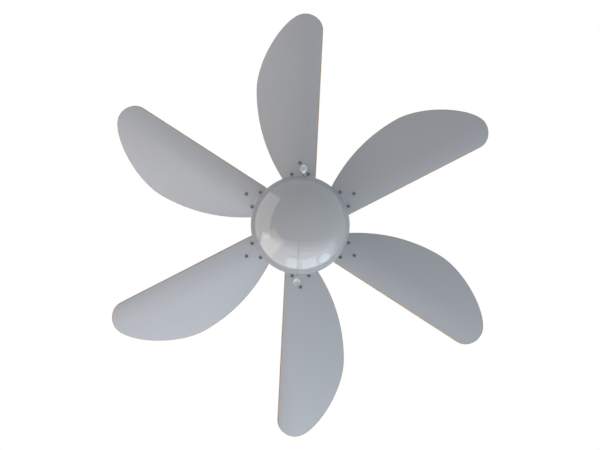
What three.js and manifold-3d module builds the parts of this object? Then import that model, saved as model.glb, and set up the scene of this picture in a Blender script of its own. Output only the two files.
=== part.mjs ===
// A six-blade ceiling fan with an opal glass light, hung from the ceiling by a ball and a short rod.
// Lengths are in millimetres and angles in degrees. +Z is up.
// The origin is on the fan's axis in the plane of the ceiling, so the whole fan lies below zero.

import * as THREE from "three";
import { mergeVertices } from "three/addons/utils/BufferGeometryUtils.js";
import Module from "manifold-3d";

const wasm = await Module();
wasm.setup();

// Clearances that every piece shares
const seatGap = 0.3;
const turningGap = 3;
const cutOverrun = 2;

// Faces on round pieces
const wideSides = 24;
const middleSides = 16;
const smallSides = 12;
const screwSides = 6;

// Ceiling bracket: a strap with a cradle for the ball
const bracketThickness = 2.5;
const bracketWidth = 48;
const bracketEarDepth = 14;
const bracketLegTopSpread = 76;
const cradleLength = 60;
const slotSpacing = 84;
const slotWidth = 5;
const slotLength = 14;
const wireHoleRadius = 6;
const wireHoleOffset = 14;

// Hanger ball and rod
const ballRadius = 26;
const ballDepth = 33;
const ballTopCut = 12;
const ballBottomCut = 21;
const ballPlay = 0.4;
const cradleDrop = 17;
const rodRadius = 9.5;
const rodWall = 1.6;
const rodProud = 5;
const crossPinRadius = 3;
const crossPinLength = 34;
const tiltLimit = 10;
const tiltPlay = 3;

// Canopy against the ceiling
const canopyRadius = 64;
const canopyRimBelowEar = 2;
const canopyShoulder = 9;
const canopyWall = 1.2;
const canopyFootRadius = 38;
const canopyFloorGap = 6;
const canopyCeilingGap = 0.5;

// Coupling on the motor, its cross pin and its cover
const rodDrop = 68;
const coverHeight = 31;
const coverNeckRadius = 13;
const coverRadius = 31;
const coverWall = 1.2;
const couplingInset = 8;
const couplingRadius = 15;
const couplingFlangeRadius = 24;
const couplingFlangeThickness = 4;
const couplingWeb = 3;
const rodEngagement = 14;
const clevisPinRadius = 2.7;
const clevisPinLength = 35;
const clevisPinDepth = 7;

// Motor
const shaftRadius = 7.5;
const shaftBore = 4.5;
const shaftNutRadius = 13;
const shaftNutHeight = 6;
const shaftTail = 4;
const housingRadius = 84;
const housingFlatInset = 30;
const housingFlatRadius = housingRadius - housingFlatInset;
const housingShoulderHeight = 25;
const housingHeight = 68;
const housingBeadWidth = 2;
const housingBeadRadius = housingRadius + housingBeadWidth;
const housingBeadHeight = 12;
const housingBeadSlope = 2.5;
const housingWall = 1.2;
const ventCount = 12;
const ventInset = 11;
const ventMiddleRadius = housingFlatRadius - ventInset;
const ventLength = 15;
const ventWidth = 5;
const rotorHeadroom = 4;
const rotorSideGap = 7;
const rotorRadius = housingRadius - rotorSideGap;
const rotorHeight = 68;
const rotorChamfer = 11;
const rotorFlatRadius = rotorRadius - rotorChamfer;
const rotorWall = 3.5;
const rotorEyeRadius = 12;
const airGap = 0.8;
const rotorRimWidth = 16.7;
const statorRadius = rotorRadius - rotorRimWidth - airGap;
const statorStack = 20;
const statorPoles = 12;
const statorSlotWidth = 7;
const statorToothLength = 25.5;
const statorSlotRadius = statorRadius - statorToothLength;
const coilInset = 7.5;
const coilWidth = 21;
const coilOuterRadius = statorRadius - coilInset;
const coilInnerRadius = coilOuterRadius - coilWidth;
const coilOverhang = 9;
const bearingRadius = 17.5;
const bearingWidth = 11;
const bearingShieldInner = 10.5;
const bearingShieldOuter = 15;
const bearingShieldDepth = 0.6;
const bearingPlay = 0.35;
const bearingBossWall = 4;

// Blades, their irons and their screws
const bladeCount = 6;
const firstBladeAngle = -90;
const sweepRadius = 381;
const bladePitch = 12;
const bladeThickness = 5;
const bladeArrisWidth = 1;
const bladeRootRadius = 79;
const bladeRootCornerRadius = 5;
const bladeRootLeadWidth = 29.4;
const bladeRootTrailWidth = 27.9;
const bladeBellyRadius = 244.2;
const bladeBellyWidth = 80.6;
const bladeTipOffset = 8.1;
const bladeTipStartRadius = 348.4;
const bladeTipTrailWidth = 41.7;
const bladeHandleShares = {
  rootAlong: 0.316,
  rootAcross: 0.654,
  bellyIn: 0.366,
  bellyOut: 0.429,
  tipLead: 0.379,
  tipTrail: 0.56,
  trailOut: 0.567,
};
const bladeSteps = { corner: 2, belly: 6, tip: 6, trail: 4 };
const screwPairInset = 12.7;
const screwOuterInset = 33;
const screwPairRadius = bladeRootRadius + screwPairInset;
const screwOuterRadius = bladeRootRadius + screwOuterInset;
const screwPairOffset = 15.2;
const screwShankRadius = 2;
const screwHeadRadius = 3.3;
const screwHeadHeight = 1.9;
const screwTail = 1.5;
const screwCrownShare = 0.7;
const ironThickness = 3;
const ironInnerRadius = 40;
const ironPadHalfWidth = 13;
const ironBoltRadius = 51;
const ironBoltMargin = 9;
const ironPadEnd = ironBoltRadius + ironBoltMargin;
const ironNeckHalfWidth = 8;
const ironScrewMargin = 6;
const ironDrop = 9;
const ironBendInset = 1;
const ironBendStart = ironPadEnd + ironBendInset;
const ironBendGap = 1.5;
const ironBendEnd = bladeRootRadius - ironBendGap;
const ironRibHeight = 1.4;
const ironRibHalfWidth = 4;
const ironBoltOffset = 6.5;
const ironBoltHole = 2.1;
const ironBoltHead = 2.4;
const ironStations = 9;
const ironShares = { padStart: 0.62, neck: 0.3136, tip: 0.55, ribTop: 0.5 };
const ironNeckRadius = ironPadEnd + (screwPairRadius - ironScrewMargin / 2 - ironPadEnd) * ironShares.neck;

// Switch housing and what is in it
const switchHousingRadius = 50;
const switchHousingFlatRadius = 41;
const switchHousingShoulder = 9;
const switchHousingHeight = 43;
const switchHousingWall = 1.2;
const pullAngle = 93.5;
const pullDepth = 20.5;
const switchBodyLength = 24;
const switchBodyWidth = 22;
const switchBodyHeight = 22;
const switchNozzleRadius = 4;
const switchNozzleLength = 8.4;
const switchNutRadius = 6.5;
const switchNutThickness = 2.4;
const capacitorLength = 34;
const capacitorWidth = 15;
const capacitorHeight = 25;
const capacitorCorner = 3;
const capacitorOffset = 30;
const reverseSlotLength = 11;
const reverseSlotHeight = 4.6;
const reverseTravel = 5;
const reverseKnobHeight = 3.6;
const reverseKnobProud = 2.6;
const reverseBodyLength = 22;
const reverseBodyHeight = 12;
const reverseBodyDepth = 10;
const reverseKnobFoot = 5.5;

// Light: fitter, holder, bulb and opal shade
const fitterThickness = 1.5;
const fitterUpstand = 8;
const fitterWall = 1.2;
const fitterSkirtRadius = 47.5;
const fitterSkirtHeight = 14;
const fitterEyeRadius = 6;
const thumbScrewCount = 3;
const thumbScrewSides = 8;
const thumbScrewDepth = 8;
const thumbScrewShank = 1.8;
const thumbScrewHeadRadius = 4.6;
const thumbScrewHeadLength = 4;
const thumbScrewStandOff = 1.4;
const thumbScrewHeadShare = 0.8;
const holderRadius = 17;
const holderHeight = 34;
const holderBore = 13.9;
const holderBoreDepth = 24;
const holderCollarRadius = 20;
const holderCollarHeight = 5;
const bulbBaseRadius = 13.2;
const bulbBaseLength = 22;
const bulbRadius = 22.5;
const bulbLength = 52;
const bulbNeckShare = 0.34;
const bulbQuarterTurnsShare = 1.35;
const glassRadius = 86;
const glassWall = 2.6;
const glassNeckRadius = 43.5;
const glassNeckClear = 2.2;
const glassLipRadius = 45;
const glassLipHeight = 2.6;
const glassShoulderHeight = 35;
const glassDomeDepth = 45;
const glassDomeSteps = 6;
const glassShoulderSteps = 5;
const glassShoulderShares = { neckAlong: 0.53, equatorUp: 0.57 };

// Pull chains: the route of one chain in the plane of its switch, as distance from the axis and height
const chainRadius = 1.2;
const chainSides = 8;
const chainSteps = 32;
const chainRoute = [
  [58.9, -261.3], [61.4, -261.5], [63.6, -262.7], [65.2, -264.8], [66.6, -268.0],
  [69.1, -274.5], [72.4, -283.3], [76.1, -293.2], [79.7, -303.0], [83.0, -312.3],
  [85.6, -321.0], [87.1, -329.5], [87.7, -338.0], [87.7, -348.0], [87.5, -362.0],
  [87.2, -378.0], [86.8, -395.0], [86.3, -412.0], [85.8, -429.0], [85.3, -446.0],
  [84.9, -460.0], [84.8, -472.0], [85.2, -481.0], [86.3, -488.5],
];
const pendantLength = 29;
const pendantRadius = 5.6;
const pendantNeckRadius = 2.1;
const pendantDish = 2.5;
const pendantRim = 1.1;
const pendantLean = 9;
const pendantShares = [
  [0.0, 0.0], [0.06, 0.1], [0.3, 0.24], [0.55, 0.58], [0.78, 0.93], [0.92, 1.0], [1.0, 0.93],
];

// Heights worked out from the sizes above
const ballZ = -ballDepth;
const cradleTopZ = ballZ - cradleDrop;
const cradleBottomZ = cradleTopZ - bracketThickness;
const canopyBottomZ = cradleBottomZ - canopyFloorGap - canopyWall;
const coverTopZ = canopyBottomZ - rodDrop;
const housingTopZ = coverTopZ - coverHeight - seatGap;
const couplingTopZ = coverTopZ - couplingInset;
const couplingBottomZ = housingTopZ + seatGap;
const rodBottomZ = couplingTopZ - rodEngagement;
const clevisPinZ = couplingTopZ - clevisPinDepth;
const shaftTopZ = rodBottomZ - couplingWeb - 2 * seatGap;
const housingBottomZ = housingTopZ - housingHeight;
const rotorTopZ = housingTopZ - housingWall - rotorHeadroom;
const rotorBottomZ = rotorTopZ - rotorHeight;
const rotorMiddleZ = (rotorTopZ + rotorBottomZ) / 2;
const ironPadZ = rotorBottomZ - seatGap - ironThickness / 2;
const ironPalmZ = ironPadZ - ironDrop;
const switchTopZ = ironPadZ - ironThickness / 2 - ironBoltHead - turningGap;
const switchBottomZ = switchTopZ - switchHousingHeight;
const pullZ = switchTopZ - pullDepth;
const fitterTopZ = switchBottomZ - seatGap;
const fitterBottomZ = fitterTopZ - fitterThickness;
const skirtBottomZ = fitterBottomZ - fitterSkirtHeight;
const glassTopZ = fitterBottomZ - seatGap;
const glassShoulderZ = skirtBottomZ - glassNeckClear;
const glassEquatorZ = glassShoulderZ - glassShoulderHeight;
const pitchAngle = THREE.MathUtils.degToRad(bladePitch);
const bladeBelowIron = ironThickness / 2 + seatGap + bladeThickness / 2;
const bladePlaneZ = ironPalmZ - bladeBelowIron / Math.cos(pitchAngle);
const bearingOffset = rotorHeight / 2 - rotorWall - seatGap - bearingWidth / 2;

// Finishes
const whitePaint = new THREE.MeshStandardMaterial({ color: 0xe4e4e2, roughness: 0.35, metalness: 0 });
const zincSteel = new THREE.MeshStandardMaterial({ color: 0xb4b6b8, roughness: 0.4, metalness: 0.9 });
const castAluminium = new THREE.MeshStandardMaterial({ color: 0xa9abad, roughness: 0.5, metalness: 0.8 });
const copperWire = new THREE.MeshStandardMaterial({ color: 0xa65a2a, roughness: 0.45, metalness: 0.7 });
const greyLaminate = new THREE.MeshStandardMaterial({ color: 0xb2b5ba, roughness: 0.45, metalness: 0 });
const darkScrew = new THREE.MeshStandardMaterial({ color: 0x4a4c50, roughness: 0.4, metalness: 0.8 });
const opalGlass = new THREE.MeshStandardMaterial({ color: 0xc4c5c8, roughness: 0.12, metalness: 0 });
const frostedGlass = new THREE.MeshStandardMaterial({ color: 0xeeeeea, roughness: 0.4, metalness: 0 });
const blackPlastic = new THREE.MeshStandardMaterial({ color: 0x26262a, roughness: 0.5, metalness: 0 });
const whitePlastic = new THREE.MeshStandardMaterial({ color: 0xe8e8e6, roughness: 0.35, metalness: 0 });
const nickelChain = new THREE.MeshStandardMaterial({ color: 0xb9bcc0, roughness: 0.3, metalness: 0.9 });

// A geometry as a solid that can be cut and joined
function solidOf(geometry) {
  const bare = geometry.clone();
  bare.deleteAttribute("normal");
  bare.deleteAttribute("uv");
  const merged = mergeVertices(bare, 1e-4);
  const corners = [];
  for (let i = 0; i < merged.index.count; i += 3) {
    const [a, b, c] = [0, 1, 2].map((k) => merged.index.getX(i + k));
    if (a !== b && b !== c && c !== a) corners.push(a, b, c);
  }
  return new wasm.Manifold(
    new wasm.Mesh({
      numProp: 3,
      vertProperties: new Float32Array(merged.attributes.position.array),
      triVerts: new Uint32Array(corners),
    }),
  );
}

function geometryOf(solid) {
  const mesh = solid.getMesh();
  const geometry = new THREE.BufferGeometry();
  geometry.setAttribute("position", new THREE.BufferAttribute(mesh.vertProperties, 3));
  geometry.setIndex(new THREE.BufferAttribute(mesh.triVerts, 1));
  geometry.computeVertexNormals();
  return geometry;
}

function cut(geometry, ...tools) {
  return geometryOf(tools.reduce((whole, tool) => whole.subtract(solidOf(tool)), solidOf(geometry)));
}

function join(geometry, ...more) {
  return geometryOf(more.reduce((whole, piece) => whole.add(solidOf(piece)), solidOf(geometry)));
}

// A piece turned about +Z from a profile of [radius, height] points.
// The profile runs from axis to axis, or is closed here if it doesn't.
function revolve(profile, sides = wideSides) {
  const area = profile.reduce((sum, [r, z], i) => {
    const [nextR, nextZ] = profile[(i + 1) % profile.length];
    return sum + r * nextZ - nextR * z;
  }, 0);
  const points = (area > 0 ? [...profile] : [...profile].reverse()).map(([r, z]) => new THREE.Vector2(r, z));
  const onAxis = points[0].x === 0 && points[points.length - 1].x === 0;
  if (!onAxis) points.push(points[0].clone());
  return new THREE.LatheGeometry(points, sides).rotateX(Math.PI / 2);
}

// A sheet of one thickness, laid on the left of a path of [radius, height] points
function sheet(path, wall) {
  const side = (a, b) => new THREE.Vector2(a[1] - b[1], b[0] - a[0]).normalize();
  const inner = path.map(([r, z], i) => {
    const before = side(path[Math.max(i - 1, 0)], path[Math.max(i, 1)]);
    const after = side(path[Math.min(i, path.length - 2)], path[Math.min(i + 1, path.length - 1)]);
    if (r === 0) return [0, z + wall];
    const reach = wall / (1 + before.dot(after));
    return [r + (before.x + after.x) * reach, z + (before.y + after.y) * reach];
  });
  return [...path, ...inner.reverse()];
}

// Points along a smooth curve that leaves and arrives in the direction of its handles
function bend(start, startHandle, endHandle, end, steps) {
  const [a, b, c, d] = [start, startHandle, endHandle, end].map(([r, z]) => new THREE.Vector2(r, z));
  return new THREE.CubicBezierCurve(a, b, c, d).getPoints(steps).map((p) => [p.x, p.y]);
}

function rod(radius, length, sides = smallSides) {
  return new THREE.CylinderGeometry(radius, radius, length, sides).rotateX(Math.PI / 2);
}

function box(x, y, z) {
  return new THREE.BoxGeometry(x, y, z);
}

// A skin over rings that hold the same number of points, closed by a fan at each end
function loft(rings) {
  const count = rings[0].length;
  const positions = rings.flat().flatMap((p) => p.toArray());
  const faces = [];
  for (let ring = 0; ring + 1 < rings.length; ring++) {
    for (let i = 0; i < count; i++) {
      const a = ring * count + i;
      const b = ring * count + ((i + 1) % count);
      faces.push(a, b, b + count, a, b + count, a + count);
    }
  }
  const last = (rings.length - 1) * count;
  for (let i = 1; i + 1 < count; i++) {
    faces.push(0, i + 1, i, last, last + i, last + i + 1);
  }
  const geometry = new THREE.BufferGeometry();
  geometry.setAttribute("position", new THREE.Float32BufferAttribute(positions, 3));
  geometry.setIndex(faces);
  geometry.computeVertexNormals();
  return geometry;
}

function piece(name, geometry, material) {
  const mesh = new THREE.Mesh(geometry, material);
  mesh.name = name;
  return mesh;
}

// Where the canopy's inside wall stands, which the bracket's ears reach
const canopyInnerRadius = canopyRadius - canopyWall;

function hangerBracket() {
  const t = bracketThickness;
  const reach = canopyInnerRadius - seatGap;
  const legTop = bracketLegTopSpread / 2;
  const legFoot = cradleLength / 2;
  const plate = new THREE.Shape([
    new THREE.Vector2(-reach, 0),
    new THREE.Vector2(-reach, -bracketEarDepth),
    new THREE.Vector2(-reach + t, -bracketEarDepth),
    new THREE.Vector2(-reach + t, -t),
    new THREE.Vector2(reach - t, -t),
    new THREE.Vector2(reach - t, -bracketEarDepth),
    new THREE.Vector2(reach, -bracketEarDepth),
    new THREE.Vector2(reach, 0),
  ]);
  const cradle = new THREE.Shape([
    new THREE.Vector2(-legTop, -t / 2),
    new THREE.Vector2(-legFoot, cradleBottomZ),
    new THREE.Vector2(legFoot, cradleBottomZ),
    new THREE.Vector2(legTop, -t / 2),
    new THREE.Vector2(legTop - t, -t / 2),
    new THREE.Vector2(legFoot - t, cradleTopZ),
    new THREE.Vector2(t - legFoot, cradleTopZ),
    new THREE.Vector2(t - legTop, -t / 2),
  ]);
  const [strap, hanger] = [plate, cradle].map((outline) =>
    new THREE.ExtrudeGeometry(outline, { depth: bracketWidth, bevelEnabled: false })
      .rotateX(Math.PI / 2)
      .translate(0, bracketWidth / 2, 0),
  );
  const round = rod(reach, 2 * (cutOverrun - cradleBottomZ), wideSides);
  const seatRadius = Math.sqrt((ballRadius + ballPlay) ** 2 - cradleDrop ** 2);
  const seat = rod(seatRadius, 2 * bracketThickness + cutOverrun, middleSides);
  seat.translate(0, 0, cradleBottomZ);
  const mouthWidth = 2 * (rodRadius + tiltPlay);
  const mouth = box(mouthWidth, bracketWidth, 2 * bracketThickness + cutOverrun);
  mouth.translate(0, bracketWidth / 2, cradleBottomZ);
  const slots = [-1, 1].map((side) => {
    const slot = new THREE.Shape();
    const straight = (slotLength - slotWidth) / 2;
    slot.absarc(straight, 0, slotWidth / 2, -Math.PI / 2, Math.PI / 2);
    slot.absarc(-straight, 0, slotWidth / 2, Math.PI / 2, (3 * Math.PI) / 2);
    const depth = 2 * bracketThickness + cutOverrun;
    const tool = new THREE.ExtrudeGeometry(slot, { depth, bevelEnabled: false, curveSegments: 3 });
    return tool.translate((side * slotSpacing) / 2, 0, -depth / 2);
  });
  const wires = rod(wireHoleRadius, 2 * bracketThickness + cutOverrun).translate(0, wireHoleOffset, 0);
  const whole = geometryOf(solidOf(join(strap, hanger)).intersect(solidOf(round)));
  return cut(whole, seat, mouth, wires, ...slots);
}

function canopy() {
  const drop = ballZ - canopyBottomZ;
  const tilt = THREE.MathUtils.degToRad(tiltLimit);
  const hole = rodRadius / Math.cos(tilt) + drop * Math.tan(tilt) + tiltPlay;
  const rimZ = -bracketEarDepth - canopyRimBelowEar;
  const wall = bend(
    [canopyFootRadius, canopyBottomZ],
    [canopyRadius - canopyShoulder, canopyBottomZ],
    [canopyRadius, (canopyBottomZ + rimZ) / 2],
    [canopyRadius, rimZ],
    5,
  );
  return revolve(sheet([[hole, canopyBottomZ], ...wall, [canopyRadius, -canopyCeilingGap]], canopyWall));
}

function hangerBall() {
  const bore = rodRadius + seatGap;
  const start = Math.asin(-ballBottomCut / ballRadius);
  const end = Math.asin(ballTopCut / ballRadius);
  const steps = 5;
  const skin = Array.from({ length: steps + 1 }, (_, i) => {
    const angle = THREE.MathUtils.lerp(start, end, i / steps);
    return [ballRadius * Math.cos(angle), ballZ + ballRadius * Math.sin(angle)];
  });
  const ball = revolve([[bore, ballZ - ballBottomCut], ...skin, [bore, ballZ + ballTopCut]], middleSides);
  const grooveWidth = 2 * (crossPinRadius + seatGap);
  const groove = box(2 * ballRadius, grooveWidth, grooveWidth);
  return cut(ball, groove.translate(0, 0, ballZ + ballTopCut));
}

function downrod() {
  const top = ballZ + ballTopCut + rodProud;
  const bore = rodRadius - rodWall;
  const tube = revolve(
    [[bore, rodBottomZ], [rodRadius, rodBottomZ], [rodRadius, top], [bore, top]],
    middleSides,
  );
  const hole = rod(clevisPinRadius + seatGap, 2 * rodRadius + cutOverrun, smallSides);
  const pin = rod(crossPinRadius, crossPinLength, smallSides).rotateY(Math.PI / 2);
  return join(
    cut(tube, hole.rotateY(Math.PI / 2).translate(0, 0, clevisPinZ)),
    pin.translate(0, 0, ballZ + ballTopCut),
  );
}

function motorCoupling() {
  const rodSocket = rodRadius + seatGap;
  const shaftSocket = shaftRadius + seatGap;
  const flangeTop = couplingBottomZ + couplingFlangeThickness;
  const body = revolve(
    [
      [0, rodBottomZ - seatGap],
      [rodSocket, rodBottomZ - seatGap],
      [rodSocket, couplingTopZ],
      [couplingRadius, couplingTopZ],
      [couplingRadius, flangeTop],
      [couplingFlangeRadius, flangeTop],
      [couplingFlangeRadius, couplingBottomZ],
      [shaftSocket, couplingBottomZ],
      [shaftSocket, shaftTopZ + seatGap],
      [0, shaftTopZ + seatGap],
    ],
    middleSides,
  );
  const hole = rod(clevisPinRadius + seatGap, 2 * couplingRadius + cutOverrun, smallSides);
  return cut(body, hole.rotateY(Math.PI / 2).translate(0, 0, clevisPinZ));
}

function couplingCover() {
  const bottom = coverTopZ - coverHeight;
  const bell = bend(
    [coverRadius, bottom],
    [coverRadius, bottom + coverHeight / 2],
    [(coverNeckRadius + coverRadius) / 2, coverTopZ],
    [coverNeckRadius, coverTopZ],
    5,
  );
  return revolve(sheet([...bell, [rodRadius + 2 * seatGap, coverTopZ]], coverWall), middleSides);
}

function motorShaft() {
  const nutTop = switchTopZ - switchHousingWall - seatGap;
  const nutBottom = nutTop - shaftNutHeight;
  const bottom = nutBottom - shaftTail;
  const tube = revolve(
    [[shaftBore, bottom], [shaftRadius, bottom], [shaftRadius, shaftTopZ], [shaftBore, shaftTopZ]],
    middleSides,
  );
  const nut = rod(shaftNutRadius, shaftNutHeight, 6).translate(0, 0, (nutTop + nutBottom) / 2);
  const eye = rod(shaftBore, 2 * shaftNutHeight, middleSides).translate(0, 0, nutBottom);
  return join(tube, cut(nut, eye));
}

function stator() {
  const outline = new THREE.Shape();
  for (let pole = 0; pole < statorPoles; pole++) {
    const middle = (2 * Math.PI * pole) / statorPoles;
    const half = Math.PI / statorPoles;
    const tipHalf = half - Math.asin(statorSlotWidth / 2 / statorRadius);
    const rootHalf = half - Math.asin(statorSlotWidth / 2 / statorSlotRadius);
    const at = (radius, angle) => [radius * Math.cos(angle), radius * Math.sin(angle)];
    if (pole === 0) outline.moveTo(...at(statorSlotRadius, middle - rootHalf));
    else outline.lineTo(...at(statorSlotRadius, middle - rootHalf));
    outline.lineTo(...at(statorRadius, middle - tipHalf));
    outline.lineTo(...at(statorRadius, middle));
    outline.lineTo(...at(statorRadius, middle + tipHalf));
    outline.lineTo(...at(statorSlotRadius, middle + rootHalf));
  }
  const core = new THREE.ExtrudeGeometry(outline, { depth: statorStack, bevelEnabled: false });
  core.translate(0, 0, -statorStack / 2);
  const half = statorStack / 2 + coilOverhang;
  const edge = coilOverhang / 2;
  const coils = revolve(
    [
      [coilInnerRadius, half - edge],
      [coilInnerRadius + edge, half],
      [coilOuterRadius - edge, half],
      [coilOuterRadius, half - edge],
      [coilOuterRadius, edge - half],
      [coilOuterRadius - edge, -half],
      [coilInnerRadius + edge, -half],
      [coilInnerRadius, edge - half],
    ],
    middleSides,
  );
  const bore = rod(shaftRadius + seatGap, statorStack + cutOverrun, middleSides);
  return cut(join(core, coils), bore).translate(0, 0, rotorMiddleZ);
}

function bearing(side) {
  const half = bearingWidth / 2;
  const inner = shaftRadius + seatGap;
  const ring = revolve(
    [
      [inner, -half],
      [bearingShieldInner, -half],
      [bearingShieldInner, bearingShieldDepth - half],
      [bearingShieldOuter, bearingShieldDepth - half],
      [bearingShieldOuter, -half],
      [bearingRadius, -half],
      [bearingRadius, half],
      [inner, half],
    ],
    middleSides,
  );
  return ring.translate(0, 0, rotorMiddleZ + side * bearingOffset);
}

// Half of the turning outer rotor. Side 1 is the upper shell and side -1 the lower one.
function rotorShell(side) {
  const half = rotorHeight / 2;
  const seat = bearingRadius + bearingPlay;
  const boss = seat + bearingBossWall;
  const floor = half - rotorWall;
  const cage = (statorRadius + airGap) / Math.cos(Math.PI / middleSides);
  const bossEnd = bearingOffset - bearingWidth / 2;
  const profile = [
    [rotorEyeRadius, half],
    [rotorFlatRadius, half],
    [rotorRadius, half - rotorChamfer],
    [rotorRadius, seatGap / 2],
    [cage, seatGap / 2],
    [cage, half - rotorChamfer],
    [cage - rotorWall, floor],
    [boss, floor],
    [boss, bossEnd],
    [seat, bossEnd],
    [seat, floor],
    [rotorEyeRadius, floor],
  ];
  return revolve(profile.map(([r, z]) => [r, rotorMiddleZ + side * z]), middleSides);
}

function motorHousing() {
  const shoulderZ = housingTopZ - housingShoulderHeight;
  const beadTop = housingBottomZ + housingBeadHeight;
  const shoulder = bend(
    [housingRadius, shoulderZ],
    [housingRadius, shoulderZ + housingShoulderHeight / 2],
    [(housingRadius + housingFlatRadius) / 2, housingTopZ],
    [housingFlatRadius, housingTopZ],
    4,
  );
  const path = [
    [housingRadius, housingBottomZ],
    [housingBeadRadius, housingBottomZ + housingBeadSlope],
    [housingBeadRadius, beadTop - housingBeadSlope],
    [housingRadius, beadTop],
    ...shoulder,
    [shaftRadius + seatGap, housingTopZ],
  ];
  const vents = Array.from({ length: ventCount }, (_, i) => {
    const slot = box(ventLength, ventWidth, 2 * housingWall + cutOverrun);
    slot.translate(ventMiddleRadius, 0, housingTopZ);
    return slot.rotateZ((2 * Math.PI * (i + 1 / 2)) / ventCount);
  });
  return cut(revolve(sheet(path, housingWall)), ...vents);
}

// Outline of a blade seen from above, pointing along +X, with its curved leading edge towards -Y
function bladeOutline() {
  const shares = bladeHandleShares;
  const corner = bladeRootCornerRadius;
  const rise = (bladeTipTrailWidth - bladeRootTrailWidth) / (bladeTipStartRadius - bladeRootRadius);
  const bellyRun = bladeBellyRadius - bladeRootRadius;
  const tipRun = sweepRadius - bladeBellyRadius;
  const tipReach = bladeBellyWidth + bladeTipOffset;
  const trailRun = sweepRadius - bladeTipStartRadius;
  const leadCorner = bend(
    [bladeRootRadius, corner - bladeRootLeadWidth],
    [bladeRootRadius, -bladeRootLeadWidth],
    [bladeRootRadius, -bladeRootLeadWidth],
    [bladeRootRadius + corner, -bladeRootLeadWidth - corner * shares.rootAcross],
    bladeSteps.corner,
  );
  const belly = bend(
    leadCorner[leadCorner.length - 1],
    [
      bladeRootRadius + bellyRun * shares.rootAlong,
      -bladeRootLeadWidth - (bladeBellyWidth - bladeRootLeadWidth) * shares.rootAcross,
    ],
    [bladeBellyRadius - bellyRun * shares.bellyIn, -bladeBellyWidth],
    [bladeBellyRadius, -bladeBellyWidth],
    bladeSteps.belly,
  );
  const tip = bend(
    [bladeBellyRadius, -bladeBellyWidth],
    [bladeBellyRadius + tipRun * shares.bellyOut, -bladeBellyWidth],
    [sweepRadius, bladeTipOffset - tipReach * shares.tipLead],
    [sweepRadius, bladeTipOffset],
    bladeSteps.tip,
  );
  const trail = bend(
    [sweepRadius, bladeTipOffset],
    [sweepRadius, bladeTipOffset + (bladeTipTrailWidth - bladeTipOffset) * shares.tipTrail],
    [
      bladeTipStartRadius + trailRun * shares.trailOut,
      bladeTipTrailWidth + trailRun * shares.trailOut * rise,
    ],
    [bladeTipStartRadius, bladeTipTrailWidth],
    bladeSteps.trail,
  );
  const trailCorner = bend(
    [bladeRootRadius + corner, bladeRootTrailWidth + corner * rise],
    [bladeRootRadius, bladeRootTrailWidth],
    [bladeRootRadius, bladeRootTrailWidth],
    [bladeRootRadius, bladeRootTrailWidth - corner],
    bladeSteps.corner,
  );
  const points = [...leadCorner, ...belly.slice(1), ...tip.slice(1), ...trail.slice(1), ...trailCorner];
  return new THREE.Shape(points.map(([x, y]) => new THREE.Vector2(x, y)));
}

// Places of a blade's three screws, as distance out and distance across
const screwPlaces = {
  a: [screwOuterRadius, 0],
  b: [screwPairRadius, -screwPairOffset],
  c: [screwPairRadius, screwPairOffset],
};

function screwHoles(length) {
  return Object.values(screwPlaces).map(([x, y]) =>
    rod(screwShankRadius + seatGap, length, screwSides).translate(x, y, 0),
  );
}

function blade() {
  const board = new THREE.ExtrudeGeometry(bladeOutline(), {
    depth: bladeThickness - 2 * bladeArrisWidth,
    bevelThickness: bladeArrisWidth,
    bevelSize: bladeArrisWidth,
    bevelOffset: -bladeArrisWidth,
    bevelSegments: 1,
  });
  board.translate(0, 0, bladeArrisWidth - bladeThickness / 2);
  return cut(board, ...screwHoles(bladeThickness + cutOverrun));
}

// Half the width of a blade iron at a distance from the fan's axis
function ironHalfWidth(radius) {
  const palm = screwPairOffset + ironScrewMargin;
  const knots = [
    [ironInnerRadius, ironPadHalfWidth * ironShares.padStart],
    [ironInnerRadius + ironScrewMargin, ironPadHalfWidth],
    [ironPadEnd, ironPadHalfWidth],
    [ironNeckRadius, ironNeckHalfWidth],
    [screwPairRadius - ironScrewMargin / 2, palm],
    [screwPairRadius + ironScrewMargin / 2, palm],
    [screwOuterRadius + ironScrewMargin / 2, ironScrewMargin],
    [screwOuterRadius + ironScrewMargin, ironScrewMargin * ironShares.tip],
  ];
  const next = Math.max(1, knots.findIndex(([r]) => radius <= r));
  const [[r0, w0], [r1, w1]] = [knots[next - 1], knots[next]];
  return THREE.MathUtils.lerp(w0, w1, THREE.MathUtils.smoothstep(radius, r0, r1));
}

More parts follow.
